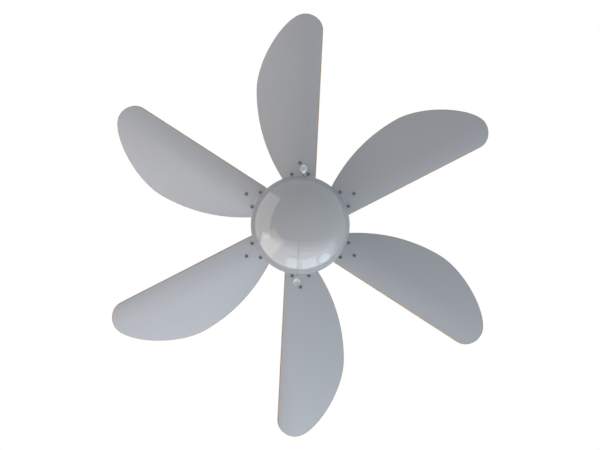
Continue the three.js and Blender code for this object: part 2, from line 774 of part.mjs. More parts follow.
// A blade iron runs out along +X: a flat pad under the rotor, a ribbed neck that drops and twists,
// and a palm that lies on the blade at the blade's pitch
function bladeIron() {
  const end = screwOuterRadius + ironScrewMargin;
  const ribFull = rotorFlatRadius + ironScrewMargin;
  const ribDone = screwOuterRadius - ironScrewMargin;
  const t = ironThickness / 2;
  const rings = Array.from({ length: ironStations + 1 }, (_, i) => {
    const radius = THREE.MathUtils.lerp(ironInnerRadius, end, i / ironStations);
    const turn = THREE.MathUtils.smoothstep(radius, ironBendStart, ironBendEnd);
    const half = ironHalfWidth(radius);
    const ribStart = THREE.MathUtils.smoothstep(radius, rotorFlatRadius, ribFull);
    const ribEnd = 1 - THREE.MathUtils.smoothstep(radius, screwPairRadius, ribDone);
    const rib = ironRibHeight * ribStart * ribEnd;
    const ribTop = ironRibHalfWidth * ironShares.ribTop;
    const section = [[-half, -t], [half, -t], [half, t], [ribTop, t + rib], [-ribTop, t + rib], [-half, t]];
    const pitch = -pitchAngle * turn;
    return section.map(
      ([y, z]) =>
        new THREE.Vector3(
          radius,
          y * Math.cos(pitch) - z * Math.sin(pitch),
          ironPadZ - ironDrop * turn + y * Math.sin(pitch) + z * Math.cos(pitch),
        ),
    );
  });
  const padHoles = [-1, 1].map((across) =>
    rod(ironBoltHole, 2 * ironThickness + cutOverrun, screwSides).translate(
      ironBoltRadius,
      across * ironBoltOffset,
      ironPadZ,
    ),
  );
  const palmHoles = screwHoles(8 * ironThickness).map((hole) =>
    hole.rotateX(-pitchAngle).translate(0, 0, bladePlaneZ),
  );
  return cut(loft(rings), ...padHoles, ...palmHoles);
}

function bladeScrew() {
  const under = -bladeThickness / 2 - seatGap;
  const top = bladeThickness / 2 + seatGap + ironThickness + screwTail;
  return revolve(
    [
      [0, under - screwHeadHeight],
      [screwHeadRadius * screwCrownShare, under - screwHeadHeight],
      [screwHeadRadius, under],
      [screwShankRadius, under],
      [screwShankRadius, top],
      [0, top],
    ],
    screwSides,
  );
}

// One arm of the rotor: an iron, and the blade and its screws turned to the blade's pitch
function bladeArm(number) {
  const arm = new THREE.Group();
  arm.rotation.z = THREE.MathUtils.degToRad(firstBladeAngle + ((number - 1) * 360) / bladeCount);
  arm.add(piece(`blade_iron_${number}`, bladeIron(), whitePaint));
  const pitched = new THREE.Group();
  pitched.position.z = bladePlaneZ;
  pitched.rotation.x = -pitchAngle;
  pitched.add(piece(`blade_${number}`, blade(), greyLaminate));
  for (const [letter, [x, y]] of Object.entries(screwPlaces)) {
    const screw = piece(`blade_screw_${number}${letter}`, bladeScrew(), darkScrew);
    screw.position.set(x, y, 0);
    pitched.add(screw);
  }
  arm.add(pitched);
  return arm;
}

// Where a switch's nozzle passes the wall, and where its nut bears
const nozzleMouth = switchHousingRadius + switchNozzleLength;

function switchHousing() {
  const shoulder = bend(
    [switchHousingRadius, switchTopZ - switchHousingShoulder],
    [switchHousingRadius, switchTopZ - switchHousingShoulder / 2],
    [(switchHousingRadius + switchHousingFlatRadius) / 2, switchTopZ],
    [switchHousingFlatRadius, switchTopZ],
    3,
  );
  const path = [[switchHousingRadius, switchBottomZ], ...shoulder, [shaftRadius + seatGap, switchTopZ]];
  const shell = revolve(sheet(path, switchHousingWall));
  const inner = switchHousingRadius - switchHousingWall;
  const frame = box(reverseBodyDepth, reverseBodyLength, reverseBodyHeight);
  frame.translate(inner - reverseBodyDepth / 2, 0, pullZ);
  const middle = inner + switchHousingWall / 2;
  const core = rod(middle, 2 * switchHousingHeight, wideSides).translate(0, 0, switchTopZ);
  const fitted = geometryOf(solidOf(frame.translate(switchHousingWall / 2, 0, 0)).intersect(solidOf(core)));
  const cavityDepth = reverseKnobFoot + switchHousingWall + cutOverrun;
  const cavity = box(cavityDepth, reverseSlotLength, reverseSlotHeight);
  cavity.translate(switchHousingRadius + cutOverrun - cavityDepth / 2, 0, pullZ);
  const pulls = [0, 180].map((turn) => {
    const hole = rod(switchNozzleRadius + seatGap, 4 * switchHousingShoulder);
    hole.rotateY(Math.PI / 2).translate(switchHousingRadius, 0, pullZ);
    return hole.rotateZ(THREE.MathUtils.degToRad(pullAngle + turn));
  });
  return cut(join(shell, fitted), cavity, ...pulls);
}

// A pull switch lies along +X: its case inside the housing, and its nozzle and nut through the wall
function pullSwitch() {
  const inner = (switchHousingRadius - switchHousingWall) * Math.cos(Math.PI / wideSides);
  const caseEnd = Math.sqrt(inner ** 2 - (switchBodyWidth / 2) ** 2) - seatGap;
  const caseMiddle = caseEnd - switchBodyLength / 2;
  const body = box(switchBodyLength, switchBodyWidth, switchBodyHeight).translate(caseMiddle, 0, 0);
  const length = nozzleMouth - caseMiddle;
  const nozzle = rod(switchNozzleRadius, length).rotateY(Math.PI / 2);
  const nut = rod(switchNutRadius, switchNutThickness, 6).rotateY(Math.PI / 2);
  return join(
    body,
    nozzle.translate(nozzleMouth - length / 2, 0, 0),
    nut.translate(switchHousingRadius + seatGap + switchNutThickness / 2, 0, 0),
  );
}

function capacitor() {
  const c = capacitorCorner;
  const [x, y] = [capacitorWidth / 2 - c, capacitorLength / 2 - c];
  const plan = new THREE.Shape();
  plan.absarc(x, y, c, 0, Math.PI / 2);
  plan.absarc(-x, y, c, Math.PI / 2, Math.PI);
  plan.absarc(-x, -y, c, Math.PI, (3 * Math.PI) / 2);
  plan.absarc(x, -y, c, (3 * Math.PI) / 2, 2 * Math.PI);
  const block = new THREE.ExtrudeGeometry(plan, {
    depth: capacitorHeight,
    bevelEnabled: false,
    curveSegments: 3,
  });
  const top = switchTopZ - switchHousingWall - seatGap;
  return block.translate(-capacitorOffset, 0, top - capacitorHeight);
}

// The slider rests at the -Y end of its slot and moves along +Y
function reverseSlider() {
  const width = reverseSlotLength - reverseTravel - 2 * seatGap;
  const foot = reverseKnobFoot - seatGap;
  const length = foot + switchHousingWall / 2 + reverseKnobProud;
  const knob = box(length, width, reverseKnobHeight);
  const inside = switchHousingRadius + reverseKnobProud - length / 2;
  return knob.translate(inside, -reverseTravel / 2, pullZ);
}

function lampFitter() {
  const upstand = switchHousingRadius - switchHousingWall - seatGap;
  const body = revolve([
    [fitterEyeRadius, fitterBottomZ],
    [fitterSkirtRadius - fitterWall, fitterBottomZ],
    [fitterSkirtRadius - fitterWall, skirtBottomZ],
    [fitterSkirtRadius, skirtBottomZ],
    [fitterSkirtRadius, fitterBottomZ],
    [switchHousingRadius, fitterBottomZ],
    [switchHousingRadius, fitterTopZ],
    [upstand, fitterTopZ],
    [upstand, fitterTopZ + fitterUpstand],
    [upstand - fitterWall, fitterTopZ + fitterUpstand],
    [upstand - fitterWall, fitterTopZ],
    [fitterEyeRadius, fitterTopZ],
  ]);
  const holes = Array.from({ length: thumbScrewCount }, (_, i) => {
    const hole = rod(thumbScrewShank + seatGap, 4 * fitterWall + cutOverrun, thumbScrewSides);
    hole.rotateY(Math.PI / 2).translate(fitterSkirtRadius, 0, fitterBottomZ - thumbScrewDepth);
    return hole.rotateZ((2 * Math.PI * i) / thumbScrewCount);
  });
  return cut(body, ...holes);
}

function thumbScrew(index) {
  const tip = glassNeckRadius + seatGap;
  const head = fitterSkirtRadius + thumbScrewStandOff;
  const end = head + thumbScrewHeadLength;
  const screw = revolve(
    [
      [0, tip],
      [thumbScrewShank, tip],
      [thumbScrewShank, head],
      [thumbScrewHeadRadius * thumbScrewHeadShare, head],
      [thumbScrewHeadRadius, (head + end) / 2],
      [thumbScrewHeadRadius * thumbScrewHeadShare, end],
      [0, end],
    ],
    thumbScrewSides,
  );
  screw.rotateY(Math.PI / 2).translate(0, 0, fitterBottomZ - thumbScrewDepth);
  return screw.rotateZ((2 * Math.PI * index) / thumbScrewCount);
}

function lampHolder() {
  const top = fitterBottomZ - seatGap;
  const bottom = top - holderHeight;
  return revolve(
    [
      [0, top],
      [holderCollarRadius, top],
      [holderCollarRadius, top - holderCollarHeight],
      [holderRadius, top - holderCollarHeight],
      [holderRadius, bottom],
      [holderBore, bottom],
      [holderBore, bottom + holderBoreDepth],
      [0, bottom + holderBoreDepth],
    ],
    middleSides,
  );
}

function bulb() {
  const mouth = fitterBottomZ - seatGap - holderHeight;
  const bottom = mouth - bulbLength;
  const centre = bottom + bulbRadius;
  const neckZ = THREE.MathUtils.lerp(mouth, centre, bulbNeckShare);
  const steps = 6;
  const ball = Array.from({ length: steps }, (_, i) => {
    const angle = (Math.PI / 2) * ((bulbQuarterTurnsShare * i) / (steps - 1) - 1);
    return [bulbRadius * Math.cos(angle), centre + bulbRadius * Math.sin(angle)];
  });
  ball[0][0] = 0;
  const top = mouth + bulbBaseLength;
  return revolve([...ball, [bulbBaseRadius, neckZ], [bulbBaseRadius, top], [0, top]], middleSides);
}

function glassShade() {
  const dome = Array.from({ length: glassDomeSteps }, (_, i) => {
    const angle = (Math.PI / 2) * (i / glassDomeSteps);
    return [glassRadius * Math.sin(angle), glassEquatorZ - glassDomeDepth * Math.cos(angle)];
  });
  const run = glassRadius - glassNeckRadius;
  const shoulder = bend(
    [glassRadius, glassEquatorZ],
    [glassRadius, glassEquatorZ + glassShoulderHeight * glassShoulderShares.equatorUp],
    [glassNeckRadius + run * glassShoulderShares.neckAlong, glassShoulderZ],
    [glassNeckRadius, glassShoulderZ],
    glassShoulderSteps,
  );
  const lipBottom = glassTopZ - glassLipHeight;
  const neck = [
    [glassNeckRadius, lipBottom],
    [glassLipRadius, lipBottom],
    [glassLipRadius, glassTopZ],
  ];
  const inner = sheet([...dome, ...shoulder, [glassNeckRadius, glassTopZ]], glassWall);
  const outerCount = dome.length + shoulder.length + 1;
  return revolve([...dome, ...shoulder, ...neck, ...inner.slice(outerCount)]);
}

function pullChain() {
  const points = chainRoute.map(([r, z]) => new THREE.Vector3(r, 0, z));
  const route = new THREE.CatmullRomCurve3(points, false, "centripetal");
  const link = new THREE.Shape();
  for (let i = 0; i < chainSides; i++) {
    const angle = (2 * Math.PI * i) / chainSides;
    const point = [chainRadius * Math.cos(angle), chainRadius * Math.sin(angle)];
    if (i === 0) link.moveTo(...point);
    else link.lineTo(...point);
  }
  link.closePath();
  return new THREE.ExtrudeGeometry(link, { steps: chainSteps, extrudePath: route, bevelEnabled: false });
}

// A bell pendant hangs from the chain's end, leaning a little outwards
function pullPendant() {
  const wall = pendantShares.map(([down, out]) => [
    THREE.MathUtils.lerp(pendantNeckRadius, pendantRadius, out),
    -pendantLength * down,
  ]);
  const bell = revolve(
    [
      [0, 0],
      ...wall,
      [pendantRadius - 2 * pendantRim, -pendantLength],
      [pendantRadius - 3 * pendantRim, pendantDish - pendantLength],
      [0, pendantDish - pendantLength],
    ],
    smallSides,
  );
  const [endRadius, endZ] = chainRoute[chainRoute.length - 1];
  bell.translate(0, 0, -seatGap).rotateY(-THREE.MathUtils.degToRad(pendantLean));
  return bell.translate(endRadius, 0, endZ);
}

// The fixed pieces at the ceiling
const ceilingMount = new THREE.Group();
ceilingMount.add(
  piece("hanger_bracket", hangerBracket(), zincSteel),
  piece("canopy", canopy(), whitePaint),
);

// What hangs from the ball and doesn't turn
const fanFrame = new THREE.Group();
fanFrame.add(
  piece("hanger_ball", hangerBall(), blackPlastic),
  piece("downrod", downrod(), whitePaint),
  piece(
    "clevis_pin",
    rod(clevisPinRadius, clevisPinLength, smallSides).rotateY(Math.PI / 2).translate(0, 0, clevisPinZ),
    zincSteel,
  ),
  piece("motor_coupling", motorCoupling(), zincSteel),
  piece("coupling_cover", couplingCover(), whitePaint),
  piece("motor_shaft", motorShaft(), zincSteel),
  piece("stator", stator(), copperWire),
  piece("upper_bearing", bearing(1), zincSteel),
  piece("lower_bearing", bearing(-1), zincSteel),
  piece("motor_housing", motorHousing(), whitePaint),
  piece("switch_housing", switchHousing(), whitePaint),
  piece("capacitor", capacitor(), blackPlastic),
  piece("lamp_fitter", lampFitter(), whitePaint),
  piece("lamp_holder", lampHolder(), whitePlastic),
  piece("bulb", bulb(), frostedGlass),
  piece("glass_shade", glassShade(), opalGlass),
);
for (let i = 0; i < thumbScrewCount; i++) {
  fanFrame.add(piece(`thumb_screw_${i + 1}`, thumbScrew(i), zincSteel));
}

// The pull switches, and the chains and pendants that move with a pull
for (const [name, turn] of [["light", 0], ["fan", 180]]) {
  const pull = new THREE.Group();
  pull.rotation.z = THREE.MathUtils.degToRad(pullAngle + turn);
  const body = piece(`${name}_switch`, pullSwitch(), blackPlastic);
  body.position.z = pullZ;
  pull.add(
    body,
    piece(`${name}_chain`, pullChain(), nickelChain),
    piece(`${name}_pendant`, pullPendant(), whitePlastic),
  );
  fanFrame.add(pull);
}

// The turning rotor with its irons, blades and screws
const rotor = new THREE.Group();
rotor.add(
  piece("rotor_upper_shell", rotorShell(1), castAluminium),
  piece("rotor_lower_shell", rotorShell(-1), castAluminium),
);
for (let number = 1; number <= bladeCount; number++) {
  rotor.add(bladeArm(number));
}

const ceilingFan = new THREE.Group();
ceilingFan.add(ceilingMount, fanFrame, rotor, piece("reverse_slider", reverseSlider(), blackPlastic));

export default ceilingFan;
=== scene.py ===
"""Looks of a six-blade ceiling fan with an opal glass light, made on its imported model.

Sizes in the classes are in millimetres, and become metres when a mesh is made. +Z is up, the
ceiling is the plane z = 0, and the camera looks straight up at the fan from below.
"""

import logging
import math
from collections.abc import Sequence
from dataclasses import dataclass
from enum import Enum

import bmesh
import bpy
from mathutils import Matrix, Vector


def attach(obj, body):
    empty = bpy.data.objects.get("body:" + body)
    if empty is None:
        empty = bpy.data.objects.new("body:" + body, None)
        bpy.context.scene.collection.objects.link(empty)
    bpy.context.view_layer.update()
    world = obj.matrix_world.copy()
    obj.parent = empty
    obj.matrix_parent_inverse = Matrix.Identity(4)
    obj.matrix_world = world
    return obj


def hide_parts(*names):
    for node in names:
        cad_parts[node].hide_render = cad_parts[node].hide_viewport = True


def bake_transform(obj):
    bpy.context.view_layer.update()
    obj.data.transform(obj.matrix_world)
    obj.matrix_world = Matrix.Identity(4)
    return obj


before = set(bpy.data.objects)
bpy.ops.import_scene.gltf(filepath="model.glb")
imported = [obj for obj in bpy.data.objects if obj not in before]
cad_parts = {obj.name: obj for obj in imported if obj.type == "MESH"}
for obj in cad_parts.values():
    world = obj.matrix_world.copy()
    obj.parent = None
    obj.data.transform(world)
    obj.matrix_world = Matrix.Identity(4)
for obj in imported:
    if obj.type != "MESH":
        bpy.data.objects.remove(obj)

LOG = logging.getLogger("ceiling_fan")
MM = 0.001
Point = tuple[float, float]
Triple = tuple[float, float, float]
Colour = tuple[float, float, float, float]


class Body(Enum):
    """The parts of the fan that move as one."""

    MOUNT = "ceiling_mount"
    FRAME = "fan_frame"
    ROTOR = "rotor"
    FAN_PULL = "fan_pull"
    LIGHT_PULL = "light_pull"
    REVERSE = "reverse_switch"


class Slot(Enum):
    """The material slots that the finishes belong to."""

    PAINT = "white_paint"
    ZINC = "zinc_steel"
    CAST = "cast_aluminium"
    COPPER = "copper_winding"
    LAMINATE = "grey_laminate"
    SCREW = "dark_screw"
    OPAL = "opal_glass"
    FROSTED = "frosted_glass"
    BLACK = "black_plastic"
    WHITE = "white_plastic"
    NICKEL = "nickel_chain"


def srgb(red: float, green: float, blue: float) -> Colour:
    """Turn a colour as seen into the linear colour that a shader takes.

    Args:
        red: How red it is, from 0 to 255.
        green: How green it is, from 0 to 255.
        blue: How blue it is, from 0 to 255.

    Returns:
        The linear colour, which covers fully.
    """
    shares = [c / 255 for c in (red, green, blue)]
    linear = [c / 12.92 if c <= 0.04045 else ((c + 0.055) / 1.055) ** 2.4 for c in shares]
    return (linear[0], linear[1], linear[2], 1.0)


def smoothstep(value: float, start: float, end: float) -> float:
    """Rise smoothly from 0 at start to 1 at end."""
    t = min(max((value - start) / (end - start), 0.0), 1.0)
    return t * t * (3 - 2 * t)


def lerp(a: float, b: float, t: float) -> float:
    """Give the number that lies the share t of the way from a to b."""
    return a + (b - a) * t


def bend(a: Point, b: Point, c: Point, d: Point, steps: int) -> list[Point]:
    """Make points along a smooth curve.

    Args:
        a: Where the curve starts.
        b: The handle that it leaves towards.
        c: The handle that it arrives from.
        d: Where the curve ends.
        steps: How many stretches it has.

    Returns:
        The points, both ends among them.
    """
    made = []
    for i in range(steps + 1):
        t = i / steps
        s = 1 - t
        shares = (s**3, 3 * s * s * t, 3 * s * t * t, t**3)
        made.append(tuple(sum(w * p[k] for w, p in zip(shares, (a, b, c, d))) for k in (0, 1)))
    return made


def flowing(points: Sequence[Point], steps: int) -> list[Point]:
    """Make a smooth line that passes through points.

    Args:
        points: What the line passes through.
        steps: How many stretches it has between one point and the next.

    Returns:
        The line's points.
    """
    ends = [points[0], *points, points[-1]]
    made = []
    for a, b, c, d in zip(ends, ends[1:], ends[2:], ends[3:]):
        for i in range(steps):
            t = i / steps
            made.append(tuple(
                0.5 * (2 * b[k] + (c[k] - a[k]) * t + (2 * a[k] - 5 * b[k] + 4 * c[k] - d[k]) * t * t
                       + (3 * b[k] - a[k] - 3 * c[k] + d[k]) * t**3)
                for k in (0, 1)
            ))
    return [*made, points[-1]]


def walled(path: list[Point], wall: float) -> list[Point]:
    """Close a path of distances from the axis and heights into the outline of a sheet.

    Args:
        path: The outer side of the sheet.
        wall: The sheet's thickness, which lies on the left of the path.

    Returns:
        The outline, with the path first.
    """
    def side(a: Point, b: Point) -> Vector:
        """Give the direction to the left of the way from a to b."""
        return Vector((a[1] - b[1], b[0] - a[0])).normalized()

    inner = []
    for i, (r, z) in enumerate(path):
        if r == 0:
            inner.append((0.0, z + wall))
            continue
        before = side(path[max(i - 1, 0)], path[max(i, 1)])
        after = side(path[min(i, len(path) - 2)], path[min(i + 1, len(path) - 1)])
        reach = wall / (1 + before.dot(after))
        inner.append((r + (before.x + after.x) * reach, z + (before.y + after.y) * reach))
    return [*path, *reversed(inner)]


def turn_z(degrees: float) -> Matrix:
    """Make a turn about the fan's axis."""
    return Matrix.Rotation(math.radians(degrees), 4, "Z")


def shift(x: float, y: float, z: float) -> Matrix:
    """Make a move given in millimetres."""
    return Matrix.Translation((x * MM, y * MM, z * MM))


ALONG_X = Matrix.Rotation(math.pi / 2, 4, "Y")
INTO_SIDE = Matrix.Rotation(-math.pi / 2, 4, "Y")


class Channel:
    """A shader socket that takes part in Python arithmetic."""

    def __init__(self, nodes: "NodeSheet", socket: bpy.types.NodeSocket) -> None:
        """Keep the socket and the sheet that it is on."""
        self.nodes = nodes
        self.socket = socket

    def _maths(self, operation: str, a: object, b: object) -> "Channel":
        """Add one Math node on two values or links."""
        return self.nodes.add("ShaderNodeMath", {"operation": operation}, {0: a, 1: b})

    def __add__(self, other: object) -> "Channel":
        """Add another value or channel."""
        return self._maths("ADD", self, other)

    __radd__ = __add__

    def __sub__(self, other: object) -> "Channel":
        """Take another value or channel away."""
        return self._maths("SUBTRACT", self, other)

    def __rsub__(self, other: object) -> "Channel":
        """Take this channel from a value."""
        return self._maths("SUBTRACT", other, self)

    def __mul__(self, other: object) -> "Channel":
        """Multiply by another value or channel."""
        return self._maths("MULTIPLY", self, other)

    __rmul__ = __mul__

    def __gt__(self, other: object) -> "Channel":
        """Give 1 where this channel is the greater, and otherwise 0."""
        return self._maths("GREATER_THAN", self, other)

    def largest(self, other: object) -> "Channel":
        """Give the larger of the two."""
        return self._maths("MAXIMUM", self, other)

    def size(self) -> "Channel":
        """Give the channel without its sign."""
        return self._maths("ABSOLUTE", self, 0.0)


class NodeSheet:
    """The nodes of one material or of the world."""

    def __init__(self, tree: bpy.types.NodeTree) -> None:
        """Take a tree and empty it."""
        self.tree = tree
        tree.nodes.clear()

    def add(self, kind: str, settings: dict | None = None, inputs: dict | None = None,
            output: int | str = 0) -> Channel:
        """Add a node.

        Args:
            kind: Blender's name for the type of node.
            settings: The node's own settings, and "stops" for the stops of a ramp.
            inputs: The values or channels of its sockets, by name or number.
            output: The name or number of the socket that is given back.

        Returns:
            The output as a channel.
        """
        node = self.tree.nodes.new(kind)
        for key, value in (settings or {}).items():
            if key == "stops":
                ramp = node.color_ramp.elements
                while len(ramp) < len(value):
                    ramp.new(1.0)
                for stop, (place, colour) in zip(ramp, value):
                    stop.position, stop.color = place, colour
            else:
                setattr(node, key, value)
        for key, value in (inputs or {}).items():
            if isinstance(value, Channel):
                self.tree.links.new(value.socket, node.inputs[key])
            else:
                node.inputs[key].default_value = value
        return Channel(self, node.outputs[output]) if len(node.outputs) else Channel(self, None)

    def places(self, along: Triple = (1.0, 1.0, 1.0), uv: bool = False) -> Channel:
        """Give the coordinates of the surface.

        Args:
            along: How much each direction is stretched.
            uv: Whether the piece's own UV map is read.

        Returns:
            The stretched coordinates.
        """
        source = self.add("ShaderNodeTexCoord", output="UV" if uv else "Object")
        return self.add("ShaderNodeMapping", inputs={"Vector": source, "Scale": along})

    def noise(self, places: Channel, scale: float, detail: float = 3.0) -> Channel:
        """Give a cloudy pattern of values round 0.5."""
        return self.add("ShaderNodeTexNoise",
                        inputs={"Vector": places, "Scale": scale, "Detail": detail})

    def blend(self, share: object, a: object, b: object) -> Channel:
        """Blend two colours."""
        return self.add("ShaderNodeMix", {"data_type": "RGBA"}, {0: share, 6: a, 7: b}, output=2)

    def ramp(self, value: Channel, stops: list[tuple[float, Colour]]) -> Channel:
        """Turn a value into a colour by stops."""
        return self.add("ShaderNodeValToRGB", {"stops": stops}, {"Fac": value})

    def bump(self, height: Channel, depth: float, strength: float) -> Channel:
        """Turn heights from 0 to 1 into a relief of a depth in metres."""
        return self.add("ShaderNodeBump",
                        inputs={"Height": height, "Distance": depth, "Strength": strength})


@dataclass(frozen=True)
class Finish:
    """A finish with a slightly uneven colour and gloss and a fine relief.

    Attributes:
        name: The material's name.
        slot: The slot that it belongs to.
        colour: The colour as seen, from 0 to 255.
        roughness: The middle roughness.
        metallic: How metallic it is.
        clouding: How far the colour wanders, as a share.
        smudging: How far the roughness wanders.
        cloud_scale: Clouds in a metre.
        grain_scale: Grains of the relief in a metre.
        grain_depth: The relief's depth in metres.
        fixed: Sockets that are the same all over.
    """

    name: str
    slot: Slot
    colour: Triple
    roughness: float
    metallic: float = 0.0
    clouding: float = 0.05
    smudging: float = 0.06
    cloud_scale: float = 40.0
    grain_scale: float = 900.0
    grain_depth: float = 0.00004
    fixed: tuple[tuple[str, float], ...] = ()

    def shades(self) -> tuple[Colour, Colour]:
        """Give the darkest and the lightest colour of the clouds."""
        low, high = ([c * (1 + sign * self.clouding) for c in self.colour] for sign in (-1, 1))
        return srgb(*low), srgb(*(min(c, 255.0) for c in high))

    def surface(self, nodes: NodeSheet) -> dict:
        """Make the nodes that change over the surface.

        Args:
            nodes: The sheet that they go on.

        Returns:
            The sockets of the shader that they feed.
        """
        places = nodes.places()
        cloud = nodes.noise(places, self.cloud_scale)
        grain = nodes.noise(places, self.grain_scale, 2.0)
        dark, light = self.shades()
        return {
            "Base Color": nodes.ramp(cloud, [(0.3, dark), (0.7, light)]),
            "Roughness": self.roughness + (cloud - 0.5) * (2 * self.smudging),
            "Normal": nodes.bump(grain, self.grain_depth, 0.5),
        }

    def material(self) -> bpy.types.Material:
        """Give the material, which is made the first time that it is asked for.

        Returns:
            The material.
        """
        found = bpy.data.materials.get(self.name)
        if found:
            return found
        made = bpy.data.materials.new(self.name)
        made.use_nodes = True
        nodes = NodeSheet(made.node_tree)
        sockets = {"Metallic": self.metallic, **self.surface(nodes), **dict(self.fixed)}
        shader = nodes.add("ShaderNodeBsdfPrincipled", inputs=sockets)
        nodes.add("ShaderNodeOutputMaterial", inputs={"Surface": shader})
        return made


@dataclass(frozen=True)
class Laminate(Finish):
    """A satin foil whose faint grain runs along the blade."""

    def surface(self, nodes: NodeSheet) -> dict:
        """Make the grain, which follows the blade's own map.

        Args:
            nodes: The sheet that they go on.

        Returns:
            The sockets of the shader that they feed.
        """
        streaks = nodes.noise(nodes.places((9.0, 420.0, 1.0), uv=True), 1.0, 5.0)
        fine = nodes.noise(nodes.places((60.0, 2600.0, 1.0), uv=True), 1.0, 2.0)
        cloud = nodes.noise(nodes.places(uv=True), 7.0, 2.0)
        dark, light = self.shades()
        mixed = streaks * 0.55 + fine * 0.25 + cloud * 0.2
        return {
            "Base Color": nodes.ramp(mixed, [(0.36, dark), (0.64, light)]),
            "Roughness": self.roughness + (cloud - 0.5) * self.smudging + (fine - 0.5) * 0.05,
            "Normal": nodes.bump(fine, self.grain_depth, 0.35),
        }


@dataclass(frozen=True)
class BareBoard(Finish):
    """Fibreboard that shows along a cut edge, with its dark and pale fibres."""

    def surface(self, nodes: NodeSheet) -> dict:
        """Make fine fibres, pressed flat.

        Args:
            nodes: The sheet that they go on.

        Returns:
            The sockets of the shader that they feed.
        """
        fibres = nodes.noise(nodes.places((1.0, 1.0, 2.5)), 1500.0, 4.0)
        cloud = nodes.noise(nodes.places(), 60.0)
        dark, light = self.shades()
        return {
            "Base Color": nodes.ramp(fibres * 0.7 + cloud * 0.3, [(0.38, dark), (0.62, light)]),
            "Roughness": self.roughness + (cloud - 0.5) * self.smudging,
            "Normal": nodes.bump(fibres, self.grain_depth, 0.6),
        }


@dataclass(frozen=True)
class Spangled(Finish):
    """Zinc on steel, with its flat crystals."""

    def surface(self, nodes: NodeSheet) -> dict:
        """Make the crystals, and the scratches over them.

        Args:
            nodes: The sheet that they go on.

        Returns:
            The sockets of the shader that they feed.
        """
        places = nodes.places()
        crystal = nodes.add("ShaderNodeTexVoronoi", {"feature": "F1"},
                            {"Vector": places, "Scale": self.cloud_scale}, output="Color")
        tone = nodes.add("ShaderNodeSeparateColor", inputs={"Color": crystal})
        scratch = nodes.noise(nodes.places((30.0, 900.0, 300.0)), 1.0, 4.0)
        dark, light = self.shades()
        return {
            "Base Color": nodes.ramp(tone * 0.7 + scratch * 0.3, [(0.1, dark), (0.9, light)]),
            "Roughness": self.roughness + (tone - 0.5) * self.smudging + (scratch - 0.5) * 0.12,
            "Normal": nodes.bump(scratch, self.grain_depth, 0.3),
        }


@dataclass(frozen=True)
class WoundCore(Finish):
    """The stator: stacked steel sheets in the middle, and copper windings above and below.

    Attributes:
        middle: The height of the stack's middle.
        half: Half the height of the stack.
        pattern: The scale of the waves that draw the wires and the sheets.
        stack: The darkest and the lightest colour of the sheets.
    """

    middle: float = -198.2
    half: float = 10.0
    pattern: float = 320.0
    stack: tuple[Colour, Colour] = (srgb(92, 94, 98), srgb(150, 152, 156))

    def surface(self, nodes: NodeSheet) -> dict:
        """Make the sheets and the wires, and keep each to its own height.

        Args:
            nodes: The sheet that they go on.

        Returns:
            The sockets of the shader that they feed.
        """
        heights = nodes.add("ShaderNodeSeparateXYZ", inputs={"Vector": nodes.places()}, output="Z")
        copper = (heights - self.middle * MM).size() > self.half * MM
        wires = nodes.add("ShaderNodeTexWave", {"wave_type": "RINGS", "rings_direction": "Z"},
                          {"Vector": nodes.places(), "Scale": self.pattern, "Distortion": 1.5})
        sheets = nodes.add("ShaderNodeTexWave", {"wave_type": "BANDS", "bands_direction": "Z"},
                           {"Vector": nodes.places(), "Scale": self.pattern})
        dark, light = self.shades()
        wound = nodes.blend(wires, dark, light)
        stacked = nodes.blend(sheets, *self.stack)
        relief = copper * wires + (1 - copper) * sheets
        return {
            "Base Color": nodes.blend(copper, stacked, wound),
            "Roughness": self.roughness + (1 - relief) * 0.2,
            "Normal": nodes.bump(relief, 0.0003, 0.7),
        }


PAINT = Finish("white_enamel", Slot.PAINT, (226, 226, 224), 0.34, clouding=0.012, smudging=0.04,
               cloud_scale=25, grain_scale=650, grain_depth=0.00003,
               fixed=(("Coat Weight", 0.25), ("Coat Roughness", 0.12)))
LAMINATE = Laminate("grey_laminate_face", Slot.LAMINATE, (163, 165, 169), 0.5, clouding=0.008,
                    smudging=0.05, grain_depth=0.00001,
                    fixed=(("Coat Weight", 0.4), ("Coat Roughness", 0.22)))
BOARD = BareBoard("bare_board_edge", Slot.LAMINATE, (168, 144, 118), 0.8, clouding=0.14)
OPAL = Finish("opal_glass_bowl", Slot.OPAL, (144, 146, 149), 0.02, clouding=0.01, smudging=0.01,
              cloud_scale=14, grain_scale=60, grain_depth=0.00001, fixed=(("IOR", 2.0),))
FROSTED = Finish("frosted_bulb_glass", Slot.FROSTED, (238, 238, 232), 0.42, clouding=0.02,
                 grain_scale=1500, fixed=(("Transmission Weight", 0.15),))
ZINC = Spangled("zinc_plated_steel", Slot.ZINC, (182, 184, 187), 0.36, 0.9, clouding=0.1,
                smudging=0.14, cloud_scale=170, grain_depth=0.00003)
CAST = Finish("cast_aluminium_skin", Slot.CAST, (172, 174, 176), 0.5, 0.8, clouding=0.07,
              smudging=0.1, cloud_scale=90, grain_scale=1100, grain_depth=0.00025)
STATOR = WoundCore("wound_stator", Slot.COPPER, (166, 92, 44), 0.32, 0.75, clouding=0.22)
SCREW = Finish("dark_screw_steel", Slot.SCREW, (112, 114, 118), 0.38, 0.5, clouding=0.1,
               smudging=0.12, cloud_scale=500, grain_scale=2600)
# Painted shade: the screws' cross recesses are coloured near black to stand for the shade inside them.
RECESS_SHADE = Finish("recess_painted_shade", Slot.SCREW, (30, 31, 34), 0.6, 0.2, clouding=0.2, cloud_scale=700)
NICKEL = Finish("nickel_beads", Slot.NICKEL, (188, 190, 194), 0.26, 0.95, clouding=0.08,
                smudging=0.12, cloud_scale=420, grain_scale=3000)
WHITE = Finish("white_moulding", Slot.WHITE, (226, 226, 223), 0.3, clouding=0.012,
               cloud_scale=60, grain_scale=1400, grain_depth=0.00002)
PEARL = Finish("pearl_moulding", Slot.WHITE, (206, 209, 211), 0.28, clouding=0.02,
               cloud_scale=120, grain_scale=1400, grain_depth=0.00002)
